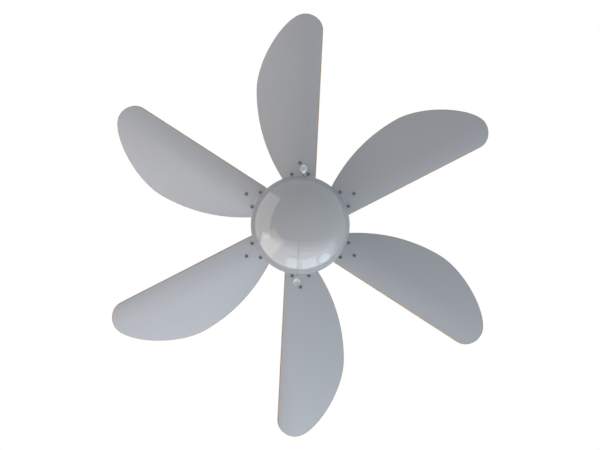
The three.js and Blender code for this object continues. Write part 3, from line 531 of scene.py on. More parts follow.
BLACK = Finish("black_moulding", Slot.BLACK, (38, 38, 42), 0.5, clouding=0.12,
               cloud_scale=80, grain_scale=1800, grain_depth=0.00006)
BRASS = Finish("thread_brass", Slot.ZINC, (176, 164, 128), 0.34, 0.9, clouding=0.08)


class Form:
    """A mesh in the making."""

    def __init__(self) -> None:
        """Start with nothing."""
        self.bm = bmesh.new()

    @staticmethod
    def turned(profile: Sequence[Point], steps: int = 96, closed: bool = True) -> "Form":
        """Turn a profile of distances from the axis and heights about the fan's axis.

        Args:
            profile: The points. They run from axis to axis, or round a ring.
            steps: Faces round the piece.
            closed: Whether the last point is joined to the first, off the axis.

        Returns:
            The turned form, with its normals outwards.
        """
        form = Form()
        points = [form.bm.verts.new((r * MM, 0, z * MM)) for r, z in profile]
        on_axis = profile[0][0] == 0 and profile[-1][0] == 0
        ends = points[1:] if on_axis or not closed else [*points[1:], points[0]]
        lines = [form.bm.edges.new(pair) for pair in zip(points, ends)]
        bmesh.ops.spin(form.bm, geom=[*points, *lines], cent=(0, 0, 0), axis=(0, 0, 1),
                       angle=2 * math.pi, steps=steps, use_merge=True)
        return form.welded()

    @staticmethod
    def block(size: Triple, at: Triple, rounding: float, segments: int = 2) -> "Form":
        """Make a block with rounded edges.

        Args:
            size: Its size along X, Y and Z.
            at: Where its middle is.
            rounding: How much of each face the rounding takes.
            segments: Faces across the rounding.

        Returns:
            The block.
        """
        form = Form()
        bmesh.ops.create_cube(form.bm, size=1.0, matrix=Matrix.Diagonal((*(s * MM for s in size), 1)))
        return form.softened(rounding, segments).placed(shift(*at))

    @staticmethod
    def bar(radius: float, length: float, sides: int = 24) -> "Form":
        """Make a round or many-sided bar along Z round the origin.

        Args:
            radius: Its radius, out to its corners.
            length: Its length.
            sides: How many sides it has.

        Returns:
            The bar.
        """
        form = Form()
        bmesh.ops.create_cone(form.bm, cap_ends=True, segments=sides, radius1=radius * MM,
                              radius2=radius * MM, depth=length * MM)
        return form

    def welded(self) -> "Form":
        """Merge what lies together, and turn the faces outwards.

        Returns:
            The same form.
        """
        bmesh.ops.remove_doubles(self.bm, verts=self.bm.verts, dist=1e-6)
        bmesh.ops.recalc_face_normals(self.bm, faces=self.bm.faces)
        return self

    def softened(self, width: float, segments: int = 2, angle: float = 35) -> "Form":
        """Round the edges that turn by more than an angle.

        Args:
            width: How much of each face the rounding takes.
            segments: Faces across the rounding.
            angle: The turn in degrees from which an edge counts as sharp.

        Returns:
            The same form.
        """
        sharp = [e for e in self.bm.edges if len(e.link_faces) == 2
                 and e.calc_face_angle() > math.radians(angle)]
        return self.bevelled(sharp, width, segments)

    def bevelled(self, parts: list, width: float, segments: int, affect: str = "EDGES") -> "Form":
        """Bevel edges or corners.

        Args:
            parts: The edges or the corners.
            width: How much of each face the bevel takes.
            segments: Faces across the bevel.
            affect: Whether the parts are EDGES or VERTICES.

        Returns:
            The same form.
        """
        bmesh.ops.bevel(self.bm, geom=parts, offset=width * MM, offset_type="OFFSET", segments=segments,
                        profile=0.5, affect=affect, clamp_overlap=True, material=-1)
        return self

    def facing(self, side: int) -> "Form":
        """Turn an open sheet over unless it faces the side that is asked for.

        Args:
            side: 1 for up, or -1 for down.

        Returns:
            The same form.
        """
        if side * sum(f.normal.z for f in self.bm.faces) < 0:
            bmesh.ops.reverse_faces(self.bm, faces=self.bm.faces)
        return self

    def placed(self, *places: Matrix) -> "Form":
        """Move the form.

        Args:
            places: The moves, of which the last one given acts first.

        Returns:
            The same form.
        """
        for place in reversed(places):
            bmesh.ops.transform(self.bm, matrix=place, verts=self.bm.verts)
        return self

    def lain(self, at: float) -> "Form":
        """Lay the form along +X, with its origin at a distance from the fan's axis."""
        return self.placed(shift(at, 0, 0), ALONG_X)

    def joined(self, *others: "Form") -> "Form":
        """Take in other forms.

        Args:
            others: The forms, which stay as they are.

        Returns:
            The same form, with the others in it.
        """
        for other in others:
            spare = bpy.data.meshes.new("spare")
            other.bm.to_mesh(spare)
            self.bm.from_mesh(spare)
            bpy.data.meshes.remove(spare)
        return self

    def copied(self) -> "Form":
        """Make a second form like this one."""
        return Form().joined(self)

    def linked(self, name: str, *materials: bpy.types.Material) -> bpy.types.Object:
        """Put the form in the scene, with its origin at the world's, and let go of it.

        Args:
            name: The object's name.
            materials: The materials, in the order of the faces' material numbers.

        Returns:
            The object.
        """
        mesh = bpy.data.meshes.new(name)
        self.bm.to_mesh(mesh)
        self.bm.free()
        for material in materials:
            mesh.materials.append(material)
        made = bpy.data.objects.new(name, mesh)
        bpy.context.scene.collection.objects.link(made)
        return made

    def finished(self, name: str, body: Body | None, *finishes: Finish, replaces: str = "",
                 sharp: float = 35) -> bpy.types.Object:
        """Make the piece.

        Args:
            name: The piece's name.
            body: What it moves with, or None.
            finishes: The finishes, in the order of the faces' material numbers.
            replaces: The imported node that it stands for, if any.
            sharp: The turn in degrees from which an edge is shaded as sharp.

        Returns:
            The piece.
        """
        piece = self.linked(name, *(finish.material() for finish in finishes))
        piece.data.shade_smooth()
        piece.data.set_sharp_from_angle(angle=math.radians(sharp))
        if body:
            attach(piece, body.value)
        if replaces:
            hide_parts(replaces)
        LOG.info("%s: %d faces", name, len(piece.data.polygons))
        return piece


def dress_node(name: str, finish: Finish) -> None:
    """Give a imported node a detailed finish.

    Args:
        name: The node.
        finish: What it gets.
    """
    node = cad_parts[name]
    if not node.material_slots:
        node.data.materials.append(finish.material())
    for place in node.material_slots:
        place.material = finish.material()
    LOG.info("%s: kept and dressed", name)


@dataclass(frozen=True)
class CrossHead:
    """The head of a screw with a cross recess, pointing along -Z from the face that it bears on.

    Attributes:
        radius: The head's radius.
        height: The head's height.
        shank: The radius of what goes into the work.
        length: How far that goes in.
        sunk: How far the head sinks into the side of a turned sheet.
    """

    radius: float
    height: float
    shank: float
    length: float
    sunk: float = 0.1

    def form(self) -> Form:
        """Make the domed head, its recess and its shank.

        Returns:
            The screw, with 1 as the material number of the recess, which carries painted shade.
        """
        flat = self.radius * 0.56
        dome = bend((self.radius, 0), (self.radius, -0.62 * self.height),
                    (self.radius * 0.8, -self.height), (flat, -self.height), 6)
        profile = [(0, self.length), (self.shank, self.length), (self.shank, 0), *dome]
        made = Form.turned(profile, 32, closed=False)
        rim = [e for e in made.bm.edges if e.is_boundary]
        arm, width = flat * 0.86, flat * 0.24
        corner = [(arm, -width), (arm, width), (width, width)]
        cross = []
        for quarter in range(4):
            turn = turn_z(90 * quarter)
            cross += [made.bm.verts.new(turn @ Vector((x * MM, y * MM, -self.height * MM)))
                      for x, y in corner]
        edges = [made.bm.edges.new(pair) for pair in zip(cross, [*cross[1:], cross[0]])]
        bmesh.ops.triangle_fill(made.bm, use_beauty=True, use_dissolve=False, edges=[*rim, *edges])
        floor = made.bm.faces.new(cross)
        sunk = bmesh.ops.extrude_discrete_faces(made.bm, faces=[floor])["faces"][0]
        for v in sunk.verts:
            v.co = Vector((v.co.x * 0.72, v.co.y * 0.72, v.co.z + 0.6 * self.height * MM))
        bmesh.ops.remove_doubles(made.bm, verts=made.bm.verts, dist=1e-7)
        bmesh.ops.bridge_loops(made.bm, edges=[e for e in made.bm.edges if e.is_boundary])
        for face in made.bm.faces:
            middle = face.calc_center_median() / MM
            if middle.xy.length < flat and -0.99 * self.height < middle.z < 0:
                face.material_index = 1
        return made.welded()

    def into_side(self, name: str, body: Body, angle: float, radius: float, height: float) -> None:
        """Put the screw into the side of a turned sheet.

        Args:
            name: The screw's name.
            body: What it moves with.
            angle: Its direction in degrees.
            radius: How far the sheet's outer side is from the axis.
            height: The screw's height.
        """
        place = turn_z(angle) @ shift(radius - self.sunk, 0, height) @ INTO_SIDE
        self.form().placed(place).finished(name, body, SCREW, RECESS_SHADE)


@dataclass
class Camera:
    """The photographer's place, straight below the fan.

    Attributes:
        height: The height of the lens in metres.
        lens: The focal length in millimetres.
        sensor: The width of the sensor in millimetres.
        shift: How far the fan's axis is from the middle of the frame, as shares of its width.
        farthest: How far it sees, in metres.
    """

    height: float = -2.6477
    lens: float = 79.87
    sensor: float = 36.0
    shift: Point = (-0.25 / 600, 0.1 / 600)
    farthest: float = 60.0

    def build(self) -> None:
        """Make the camera and look through it."""
        data = bpy.data.cameras.new("camera")
        data.lens, data.sensor_width = self.lens, self.sensor
        data.shift_x, data.shift_y = self.shift
        data.clip_end = self.farthest
        camera = bpy.data.objects.new("camera", data)
        camera.location = (0, 0, self.height)
        camera.rotation_euler = (math.pi, 0, 0)
        bpy.context.scene.collection.objects.link(camera)
        bpy.context.scene.camera = camera
        LOG.info("camera: %.2f m below the ceiling", -self.height)


@dataclass(frozen=True)
class SoftLamp:
    """A soft lamp outside the view, which shines on the fan.

    Attributes:
        name: The lamp's name.
        azimuth: Its direction in degrees, from +Y towards +X.
        elevation: Its height above the horizon in degrees.
        spread: Its width and height as seen from the fan, in degrees.
        reach: How far off it is, in metres.
        radiance: How bright its face is, where 1 lights a surface as white surroundings would.
        tint: Its colour as seen.
        roll: How far it is turned about the way that it shines, in degrees.
        round: Whether it is an ellipse.
        mirrored: Whether a shiny surface shows it.
        matt: Whether a matt surface is lit by it.
    """

    name: str
    azimuth: float
    elevation: float
    spread: Point
    reach: float
    radiance: float
    tint: Triple
    roll: float = 0.0
    round: bool = False
    mirrored: bool = True
    matt: bool = True

    def build(self, target: Vector) -> None:
        """Make the lamp and turn it to the fan.

        Args:
            target: What it shines on.
        """
        data = bpy.data.lights.new(self.name, "AREA")
        data.shape = "ELLIPSE" if self.round else "RECTANGLE"
        width, height = (2 * self.reach * math.tan(math.radians(s / 2)) for s in self.spread)
        data.size, data.size_y = width, height
        area = width * height * (math.pi / 4 if self.round else 1)
        data.energy = self.radiance * area * math.pi
        data.color = srgb(*self.tint)[:3]
        lamp = bpy.data.objects.new(self.name, data)
        a, e = math.radians(self.azimuth), math.radians(self.elevation)
        away = Vector((math.sin(a) * math.cos(e), math.cos(a) * math.cos(e), math.sin(e)))
        lamp.location = target + away * self.reach
        roll = Matrix.Rotation(math.radians(self.roll), 3, "Z")
        lamp.rotation_euler = (away.to_track_quat("Z", "Y").to_matrix() @ roll).to_euler()
        lamp.visible_camera = False
        lamp.visible_glossy = self.mirrored
        lamp.visible_diffuse = self.matt
        bpy.context.scene.collection.objects.link(lamp)


@dataclass
class Studio:
    """The pale floor, the white surroundings and the soft lamps.

    Attributes:
        floor: The height of the floor in metres.
        ceiling: The height of the ceiling that only a reflection shows.
        reach: How far the floor and the ceiling run from the middle, in metres.
        ambient: The level of the light from all round, below the horizon and above it.
        horizon: The heights, as shares of a direction, between which that level changes.
        pale: How much of the floor is white to the camera and in a reflection.
        overhead: How bright a reflection shows the ceiling above the fan.
        brighter: The distances in metres between which the ceiling grows white.
        target: The point that the lamps shine on, in metres.
        lamps: The lamps, of which the first eight draw what the glass mirrors.
    """

    floor: float = -3.6
    ceiling: float = 0.01
    reach: float = 25.0
    ambient: Point = (0.37, 0.5)
    horizon: Point = (-0.05, 0.25)
    pale: float = 0.88
    overhead: float = 0.55
    brighter: Point = (0.8, 5.0)
    target: Triple = (0.0, 0.0, -0.3)
    lamps: tuple[SoftLamp, ...] = (
        SoftLamp("window_left", -11.1, -20, (18.4, 33), 4.0, 1.15, (230, 238, 255)),
        SoftLamp("window_right", 13.1, -20, (21, 33), 4.0, 0.95, (246, 250, 255)),
        SoftLamp("window_round", 36.4, -12, (17, 34), 4.0, 1.4, (210, 230, 255), round=True),
        SoftLamp("warm_room", -58, -29, (26, 58), 3.2, 0.85, (255, 226, 205), roll=8),
        SoftLamp("floor_near", -4, -35, (126, 66), 2.4, 0.4, (242, 248, 255), matt=False),
        SoftLamp("floor_mid", -8, -31, (122, 61), 2.5, 0.48, (244, 249, 255), matt=False),
        SoftLamp("floor_far", -14, -26, (112, 56), 2.6, 0.55, (248, 250, 255), matt=False),
        SoftLamp("bright_side", -105, -14, (66, 66), 2.4, 0.75, (255, 250, 248), matt=False),
        SoftLamp("below", 0, -90, (40, 40), 2.2, 0.7, (250, 250, 255), mirrored=False),
        SoftLamp("window_wall", 12, -18, (80, 32), 9.0, 2.8, (246, 251, 255), mirrored=False),
        SoftLamp("far_wall", 180, -6, (80, 36), 9.0, 0.85, (190, 228, 255), mirrored=False),
        SoftLamp("side_wall", -92, -4, (60, 36), 9.0, 1.4, (255, 246, 238), mirrored=False),
        SoftLamp("right_wall", 70, -14, (50, 36), 9.0, 2.0, (205, 235, 255), mirrored=False),
    )

    def seen(self, nodes: NodeSheet) -> Channel:
        """Tell what is seen from what only lights a surface.

        Args:
            nodes: The sheet that the nodes go on.

        Returns:
            1 for what the camera, a reflection or glass sees, and otherwise 0.
        """
        path = [nodes.add("ShaderNodeLightPath", output=name)
                for name in ("Is Camera Ray", "Is Glossy Ray", "Is Transmission Ray")]
        return path[0].largest(path[1]).largest(path[2])

    def sheet(self, name: str, height: float) -> tuple[bpy.types.Object, NodeSheet]:
        """Lay a wide flat sheet of the stage.

        Args:
            name: The sheet's name.
            height: Its height in metres.

        Returns:
            The sheet and the empty nodes of its material.
        """
        material = bpy.data.materials.new(f"{name}_surface")
        material.use_nodes = True
        form = Form()
        bmesh.ops.create_grid(form.bm, x_segments=1, y_segments=1, size=self.reach,
                              matrix=Matrix.Translation((0, 0, height)))
        made = form.linked(name, material)
        return made, NodeSheet(material.node_tree)

    def surroundings(self) -> None:
        """Make the world: white to the camera and in a reflection, and dimmer as a light."""
        world = bpy.data.worlds.new("surroundings")
        bpy.context.scene.world = world
        world.use_nodes = True
        nodes = NodeSheet(world.node_tree)
        way = nodes.add("ShaderNodeTexCoord", output="Generated")
        height = nodes.add("ShaderNodeSeparateXYZ", inputs={"Vector": way}, output="Z")
        (start, end), (low, high) = self.horizon, self.ambient
        ambient = nodes.add("ShaderNodeMapRange", inputs={
            "Value": height, "From Min": start, "From Max": end, "To Min": low, "To Max": high})
        level = ambient + self.seen(nodes) * (1 - ambient)
        light = nodes.add("ShaderNodeBackground", inputs={"Color": (1, 1, 1, 1), "Strength": level})
        nodes.add("ShaderNodeOutputWorld", inputs={"Surface": light})

    def lay_floor(self) -> None:
        """Make the pale floor, which holds the fan's shadow and is clear from below."""
        floor, nodes = self.sheet("floor", self.floor)
        floor.visible_shadow = floor.visible_diffuse = False
        pale = nodes.add("ShaderNodeBsdfDiffuse", inputs={"Color": srgb(232, 232, 232)})
        white = nodes.add("ShaderNodeEmission", inputs={"Color": (1, 1, 1, 1), "Strength": 1.0})
        clear = nodes.add("ShaderNodeBsdfTransparent")
        share = self.seen(nodes) * self.pale
        lit = nodes.add("ShaderNodeMixShader", inputs={0: share, 1: pale, 2: white})
        below = nodes.add("ShaderNodeNewGeometry", output="Backfacing")
        whole = nodes.add("ShaderNodeMixShader", inputs={0: below, 1: lit, 2: clear})
        nodes.add("ShaderNodeOutputMaterial", inputs={"Surface": whole})

    def hang_ceiling(self) -> None:
        """Make the ceiling, which only a reflection shows, and which is shaded above the fan."""
        ceiling, nodes = self.sheet("ceiling", self.ceiling)
        for way in ("camera", "diffuse", "transmission", "shadow"):
            setattr(ceiling, f"visible_{way}", False)
        start, end = self.brighter
        away = nodes.add("ShaderNodeVectorMath", {"operation": "LENGTH"}, {0: nodes.places()},
                         output="Value")
        fade = nodes.add("ShaderNodeMapRange", {"interpolation_type": "SMOOTHSTEP"}, {
            "Value": away, "From Min": start, "From Max": end, "To Min": self.overhead, "To Max": 1.0})
        grey = nodes.add("ShaderNodeEmission", inputs={"Color": (1, 1, 1, 1), "Strength": fade})
        nodes.add("ShaderNodeOutputMaterial", inputs={"Surface": grey})

    def build(self) -> None:
        """Make the surroundings, the floor, the ceiling and the lamps."""
        self.surroundings()
        self.lay_floor()
        self.hang_ceiling()
        for lamp in self.lamps:
            lamp.build(Vector(self.target))
        bpy.context.scene.view_settings.view_transform = "Standard"
        LOG.info("studio: floor, surroundings and %d lamps", len(self.lamps))


@dataclass(frozen=True)
class PullSwitch:
    """A pull switch that lies along +X and reaches out through the switch housing's wall.

    Attributes:
        case, case_at: The case's size, and how far its middle is from the fan's axis.
        nozzle, nozzle_at: The threaded nozzle's radius and length, and where its middle is.
        nut, nut_at: The nut's radius and height, and where its middle is.
        mouth, mouth_at: The outline of the mouth that the chain leaves, and where it begins.
        turn, turns, turns_at: The outline of a turn of the thread, and where each one begins past
            a distance from the axis.
    """

    case: Triple = (24.0, 22.0, 22.0)
    case_at: float = 34.7
    nozzle: Point = (3.7, 10.4)
    nozzle_at: float = 53.2
    nut: Point = (6.5, 2.4)
    nut_at: float = 51.5
    mouth: tuple[Point, ...] = (
        (1.5, 0.0), (1.5, 2.4), (2.2, 3.2), (3.4, 3.4), (4.0, 2.6), (3.7, 0.0),
    )
    mouth_at: float = 55.2
    turn: tuple[Point, ...] = ((3.6, 0.0), (4.0, 0.35), (3.6, 0.7))
    turns: Triple = (0.1, 0.9, 1.7)
    turns_at: float = 52.8

    def build(self, name: str, azimuth: float, height: float) -> None:
        """Make the case, the threaded nozzle, the nut and the mouth.

        Args:
            name: The chain's name.
            azimuth: The direction of the switch in degrees.
            height: The height of its mouth.
        """
        case = Form.block(self.case, (self.case_at, 0, 0), 1.0, 3)
        nozzle = Form.bar(*self.nozzle, 32).lain(self.nozzle_at)
        nut = Form.bar(*self.nut, 6).softened(0.4, 2, 20).lain(self.nut_at)
        mouth = Form.turned(self.mouth, 32).softened(0.2, 2, 25).lain(self.mouth_at)
        turns = [Form.turned([(r, start + along) for r, along in self.turn], 32).lain(self.turns_at)
                 for start in self.turns]
        case.joined(nozzle, nut, mouth, *turns).placed(turn_z(azimuth), shift(0, 0, height)).finished(
            f"{name}_pull_switch", Body.FRAME, BLACK, replaces=f"{name}_switch")


@dataclass
class PullChain:
    """A pull switch with its bead chain and bell pendant.

    Attributes:
        name: The chain's name, as light or fan.
        body: What the chain's end moves with.
        azimuth: The direction of the switch in degrees.
        height: The height of the switch's mouth.
        bead, pin: The radius of a bead, and of the pin between two beads.
        pitch: How far one bead is from the next.
        route: The chain's middle line, as distances from the fan's axis and heights.
        stretch: Two heights in metres. Not used.
        bell_length, bell_radius, bell_neck, bell_wall: The bell, with the radius of its neck and
            the wall of its mouth.
        bell_lean: How far the bell leans outwards, in degrees.
        bell_dish: How deep its mouth is dished.
        bell_gap: How far it hangs below the chain's end.
        bell_shares: Its outline, as shares of its length and of the way from its neck's radius to
            its greatest one.
        ring: The outline of the ring round its top.
    """

    name: str
    body: Body
    azimuth: float
    height: float = -261.4
    bead: float = 1.2
    pitch: float = 3.2
    pin: float = 0.45
    route: tuple[Point, ...] = (
        (58.9, -261.3), (61.4, -261.5), (63.6, -262.7), (65.2, -264.8), (66.6, -268.0),
        (69.1, -274.5), (72.4, -283.3), (76.1, -293.2), (79.7, -303.0), (83.0, -312.3),
        (85.6, -321.0), (87.1, -329.5), (87.7, -338.0), (87.7, -348.0), (87.5, -362.0),
        (87.2, -378.0), (86.8, -395.0), (86.3, -412.0), (85.8, -429.0), (85.3, -446.0),
        (84.9, -460.0), (84.8, -472.0), (85.2, -481.0), (86.3, -488.5),
    )
    stretch: Point = (-0.34, -0.48)
    bell_length: float = 29.0
    bell_radius: float = 5.4
    bell_neck: float = 2.1
    bell_wall: float = 0.7
    bell_lean: float = 10.0
    bell_dish: float = 3.2
    bell_gap: float = 0.3
    bell_shares: tuple[Point, ...] = (
        (0.0, 0.0), (0.06, 0.1), (0.3, 0.24), (0.55, 0.58), (0.78, 0.93), (0.92, 1.0), (1.0, 0.93),
    )
    ring: tuple[Point, ...] = ((1.5, 0.1), (2.35, 0.1), (2.5, -0.5), (2.35, -1.1), (1.5, -1.1))

    def line(self) -> list[Vector]:
        """Give the chain's middle line in metres, at short steps."""
        turn = turn_z(self.azimuth)
        return [turn @ Vector((r * MM, 0, z * MM)) for r, z in flowing(self.route, 6)]

    def chain(self, line: list[Vector]) -> bpy.types.Object:
        """Thread beads along the line, with a short pin between one bead and the next.

        Args:
            line: The chain's middle line.

        Returns:
            The chain, which isn't on a body.
        """
        runs = [(b - a).length for a, b in zip(line, line[1:])]
        total = sum(runs)
        count = round(total / (self.pitch * MM))
        form = Form()

        def at(distance: float) -> Matrix:
            """Find a place on the line.

            Args:
                distance: How far it is from the line's start, in metres.

            Returns:
                The place, turned so that Z runs along the line.
            """
            for a, b, run in zip(line, line[1:], runs):
                if distance <= run or b is line[-1]:
                    turn = (b - a).normalized().to_track_quat("Z", "Y").to_matrix().to_4x4()
                    return Matrix.Translation(a.lerp(b, min(distance / run, 1.0))) @ turn
                distance -= run

        for i in range(count + 1):
            bmesh.ops.create_uvsphere(form.bm, u_segments=8, v_segments=6, radius=self.bead * MM,
                                      matrix=at(total * i / count))
            if i < count:
                bmesh.ops.create_cone(form.bm, cap_ends=True, segments=6, radius1=self.pin * MM,
                                      radius2=self.pin * MM, depth=self.pitch * MM,
                                      matrix=at(total * (i + 0.5) / count))
        return form.finished(f"{self.name}_bead_chain", None, NICKEL,
                             replaces=f"{self.name}_chain", sharp=60)

    def bell(self) -> bpy.types.Object:
        """Make the bell pendant with its dished mouth.

        Returns:
            The bell.
        """
        wall = [(lerp(self.bell_neck, self.bell_radius, out), -self.bell_length * down)
                for down, out in flowing(self.bell_shares, 5)]
        mouth, low = wall[-1][0] - self.bell_wall, -self.bell_length
        dish = bend((mouth, low), (mouth * 0.86, low + self.bell_dish * 0.8),
                    (mouth * 0.45, low + self.bell_dish), (0, low + self.bell_dish), 7)
        form = Form.turned([(0, 0), (1.1, 0), *wall, *dish], 48).softened(0.2, 2, 40)
        form.joined(Form.turned(self.ring, 32).softened(0.15, 1))
        radius, height = self.route[-1]
        form.placed(turn_z(self.azimuth), shift(radius, 0, height),
                    Matrix.Rotation(-math.radians(self.bell_lean), 4, "Y"), shift(0, 0, -self.bell_gap))
        return form.finished(f"{self.name}_bell", self.body, PEARL, replaces=f"{self.name}_pendant")

    def build(self) -> None:
        line = self.line()
        chain = self.chain(line)
        bell = self.bell()
        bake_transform(chain)
        PullSwitch().build(self.name, self.azimuth, self.height)


@dataclass
class Light:
    """The opal bowl with its fitter, thumb screws, holder and bulb.

    Attributes:
        radius, equator, dome: The bowl's greatest radius, the height where it is reached, and the
            depth of the dome below it.
        shoulder, fullness: The height where the shoulder ends, and how far the handles of its
            curve reach, as shares of its height and its width.
        neck, top, wall: The neck's radius, its upper edge, and the bowl's wall.
        lip, lip_height: The lip round that edge.
        housing, fitter_top, plate: The fitter's plate, with its upper face and its thickness.
        skirt, skirt_depth, fitter_wall: The fitter's skirt, and the wall of it and the plug.
        plug_height, play: The plug, and how much room it has in the switch housing.
        wire_hole: The radius of the hole for the wires.
        screws: The height of the thumb screws.
        shank, knurl, hub: The radius and length of each part of a thumb screw. Its middle is at
            a distance from the fan's axis that has the same name and _at.
        knurl_sides, knurl_groove: The corners of the knurl, and what is left of its radius at
            every other one.
        holder_low, holder_outline: The holder's lower end, and its outline above that.
        bulb_low, bulb_radius, bulb_turn: The bulb's lower end, the radius of its ball, and how
            many degrees of the ball there are.
        cap: The radius of the bulb's base in a groove and at a crest of its thread.
        thread_pitch, thread_turns: How far one crest is from the next, and how many there are.
    """

    radius: float = 86.0
    wall: float = 2.6
    neck: float = 43.5
    lip: float = 45.0
    lip_height: float = 2.6
    top: float = -286.0
    shoulder: float = -301.9
    fullness: Point = (0.57, 0.53)
    equator: float = -336.9
    dome: float = 45.0
    skirt: float = 47.5
    skirt_depth: float = 14.0
    fitter_top: float = -284.2
    fitter_wall: float = 1.2
    plate: float = 1.5
    plug_height: float = 8.0
    play: float = 0.3
    wire_hole: float = 6.0
    housing: float = 50.0
    screws: float = -293.7
    shank: Point = (1.8, 6.4)
    shank_at: float = 47.0
    knurl: Point = (4.6, 3.6)
    knurl_at: float = 51.0
    knurl_sides: int = 36
    knurl_groove: float = 0.93
    hub: Point = (2.8, 1.0)
    hub_at: float = 53.0
    holder_low: float = -320.0
    holder_outline: tuple[Point, ...] = (
        (0.0, 34.0), (20.0, 34.0), (20.0, 29.0), (17.0, 29.0), (17.0, 4.0), (16.4, 0.0), (13.9, 0.0),
        (13.9, 24.0), (0.0, 24.0),
    )
    bulb_low: float = -372.0
    bulb_radius: float = 22.5
    bulb_turn: float = 122.0
    cap: Point = (12.4, 13.2)
    thread_pitch: float = 3.6
    thread_turns: int = 5

    def bowl(self) -> None:
        """Turn the opal bowl, from its dome over the shoulder to the lip that the screws hold."""
        steps = 28
        turns = [i * math.pi / (2 * steps) for i in range(steps)]
        dome = [(self.radius * math.sin(a), self.equator - self.dome * math.cos(a)) for a in turns]
        run, rise = self.radius - self.neck, self.shoulder - self.equator
        up, out = self.fullness
        shoulder = bend((self.radius, self.equator), (self.radius, self.equator + up * rise),
                        (self.neck + out * run, self.shoulder), (self.neck, self.shoulder), 20)
        outer = [*dome, *shoulder, (self.neck, self.top)]
        inner = walled(outer, self.wall)[len(outer):]
        low = self.top - self.lip_height
        lip = [(self.neck, low), (self.lip, low), (self.lip, self.top)]
        profile = [*dome, *shoulder, *lip, *inner]
        Form.turned(profile, 128).softened(0.7, 3, 50).finished(
            "opal_bowl", Body.FRAME, OPAL, replaces="glass_shade", sharp=60)

    def fitter(self) -> None:
        """Turn the fitter: a plate that plugs into the switch housing, with a skirt round the lip."""
        top, low = self.fitter_top, self.fitter_top - self.plate
        foot, high = low - self.skirt_depth, top + self.plug_height
        plug = self.housing - self.fitter_wall - self.play
        room, bore = self.skirt - self.fitter_wall, plug - self.fitter_wall
        profile = [(self.wire_hole, low), (room, low), (room, foot), (self.skirt, foot),
                   (self.skirt, low), (self.housing, low), (self.housing, top), (plug, top),
                   (plug, high), (bore, high), (bore, top), (self.wire_hole, top)]
        Form.turned(profile).softened(0.35).finished(
            "light_fitter", Body.FRAME, PAINT, replaces="lamp_fitter")

    def thumb_screws(self) -> None:
        """Make the three knurled screws that hold the bowl's neck."""
        for number in range(3):
            shank = Form.bar(*self.shank).lain(self.shank_at)
            head = Form.bar(*self.knurl, self.knurl_sides)
            for v in head.bm.verts:
                corner = math.degrees(math.atan2(v.co.y, v.co.x)) / (360 / self.knurl_sides)
                v.co.xy *= 1.0 if round(corner) % 2 else self.knurl_groove
            head.softened(0.4, 2, 60).lain(self.knurl_at)
            hub = Form.bar(*self.hub).softened(0.3, 2).lain(self.hub_at)
            whole = shank.joined(head, hub).placed(turn_z(120 * number), shift(0, 0, self.screws))
            whole.finished(f"knurled_screw_{number + 1}", Body.FRAME, ZINC,
                           replaces=f"thumb_screw_{number + 1}")

    def holder(self) -> None:
        """Turn the holder with its collar and the bore that takes the bulb."""
        outline = [(r, self.holder_low + up) for r, up in self.holder_outline]
        Form.turned(outline, 64).softened(0.5, 3).finished(
            "bulb_holder", Body.FRAME, WHITE, replaces="lamp_holder")

    def bulb(self) -> None:
        """Turn the bulb, and the threaded base in the holder."""
        low, radius, mouth = self.bulb_low, self.bulb_radius, self.holder_low
        middle, (groove, crest) = low + radius, self.cap
        ball = [(radius * math.cos(a), middle + radius * math.sin(a))
                for a in (math.radians(-90 + self.bulb_turn * i / 20) for i in range(21))]
        ball[0] = (0.0, low)
        neck = bend(ball[-1], (16, middle + 16), (crest, mouth - 12), (crest, mouth - 4), 8)
        Form.turned([*ball, *neck[1:], (12.6, mouth - 1), (0, mouth - 1)], 64).finished(
            "bulb_glass", Body.FRAME, FROSTED, replaces="bulb")
        thread = [(0, mouth - 3), (12.8, mouth - 3)]
        for turn in range(self.thread_turns):
            z = mouth - 1 + self.thread_pitch * turn
            thread += [(groove, z), (crest, z + 1.0), (crest, z + 1.9), (groove, z + 2.9)]
        thread += [(9, mouth + 19), (4, mouth + 21.5), (0, mouth + 21.5)]
        Form.turned(thread, 48).softened(0.3, 2, 25).finished("bulb_base", Body.FRAME, BRASS)

    def build(self) -> None:
        """Make the whole light."""
        self.bowl()
        self.fitter()
        self.thumb_screws()
        self.holder()
        self.bulb()


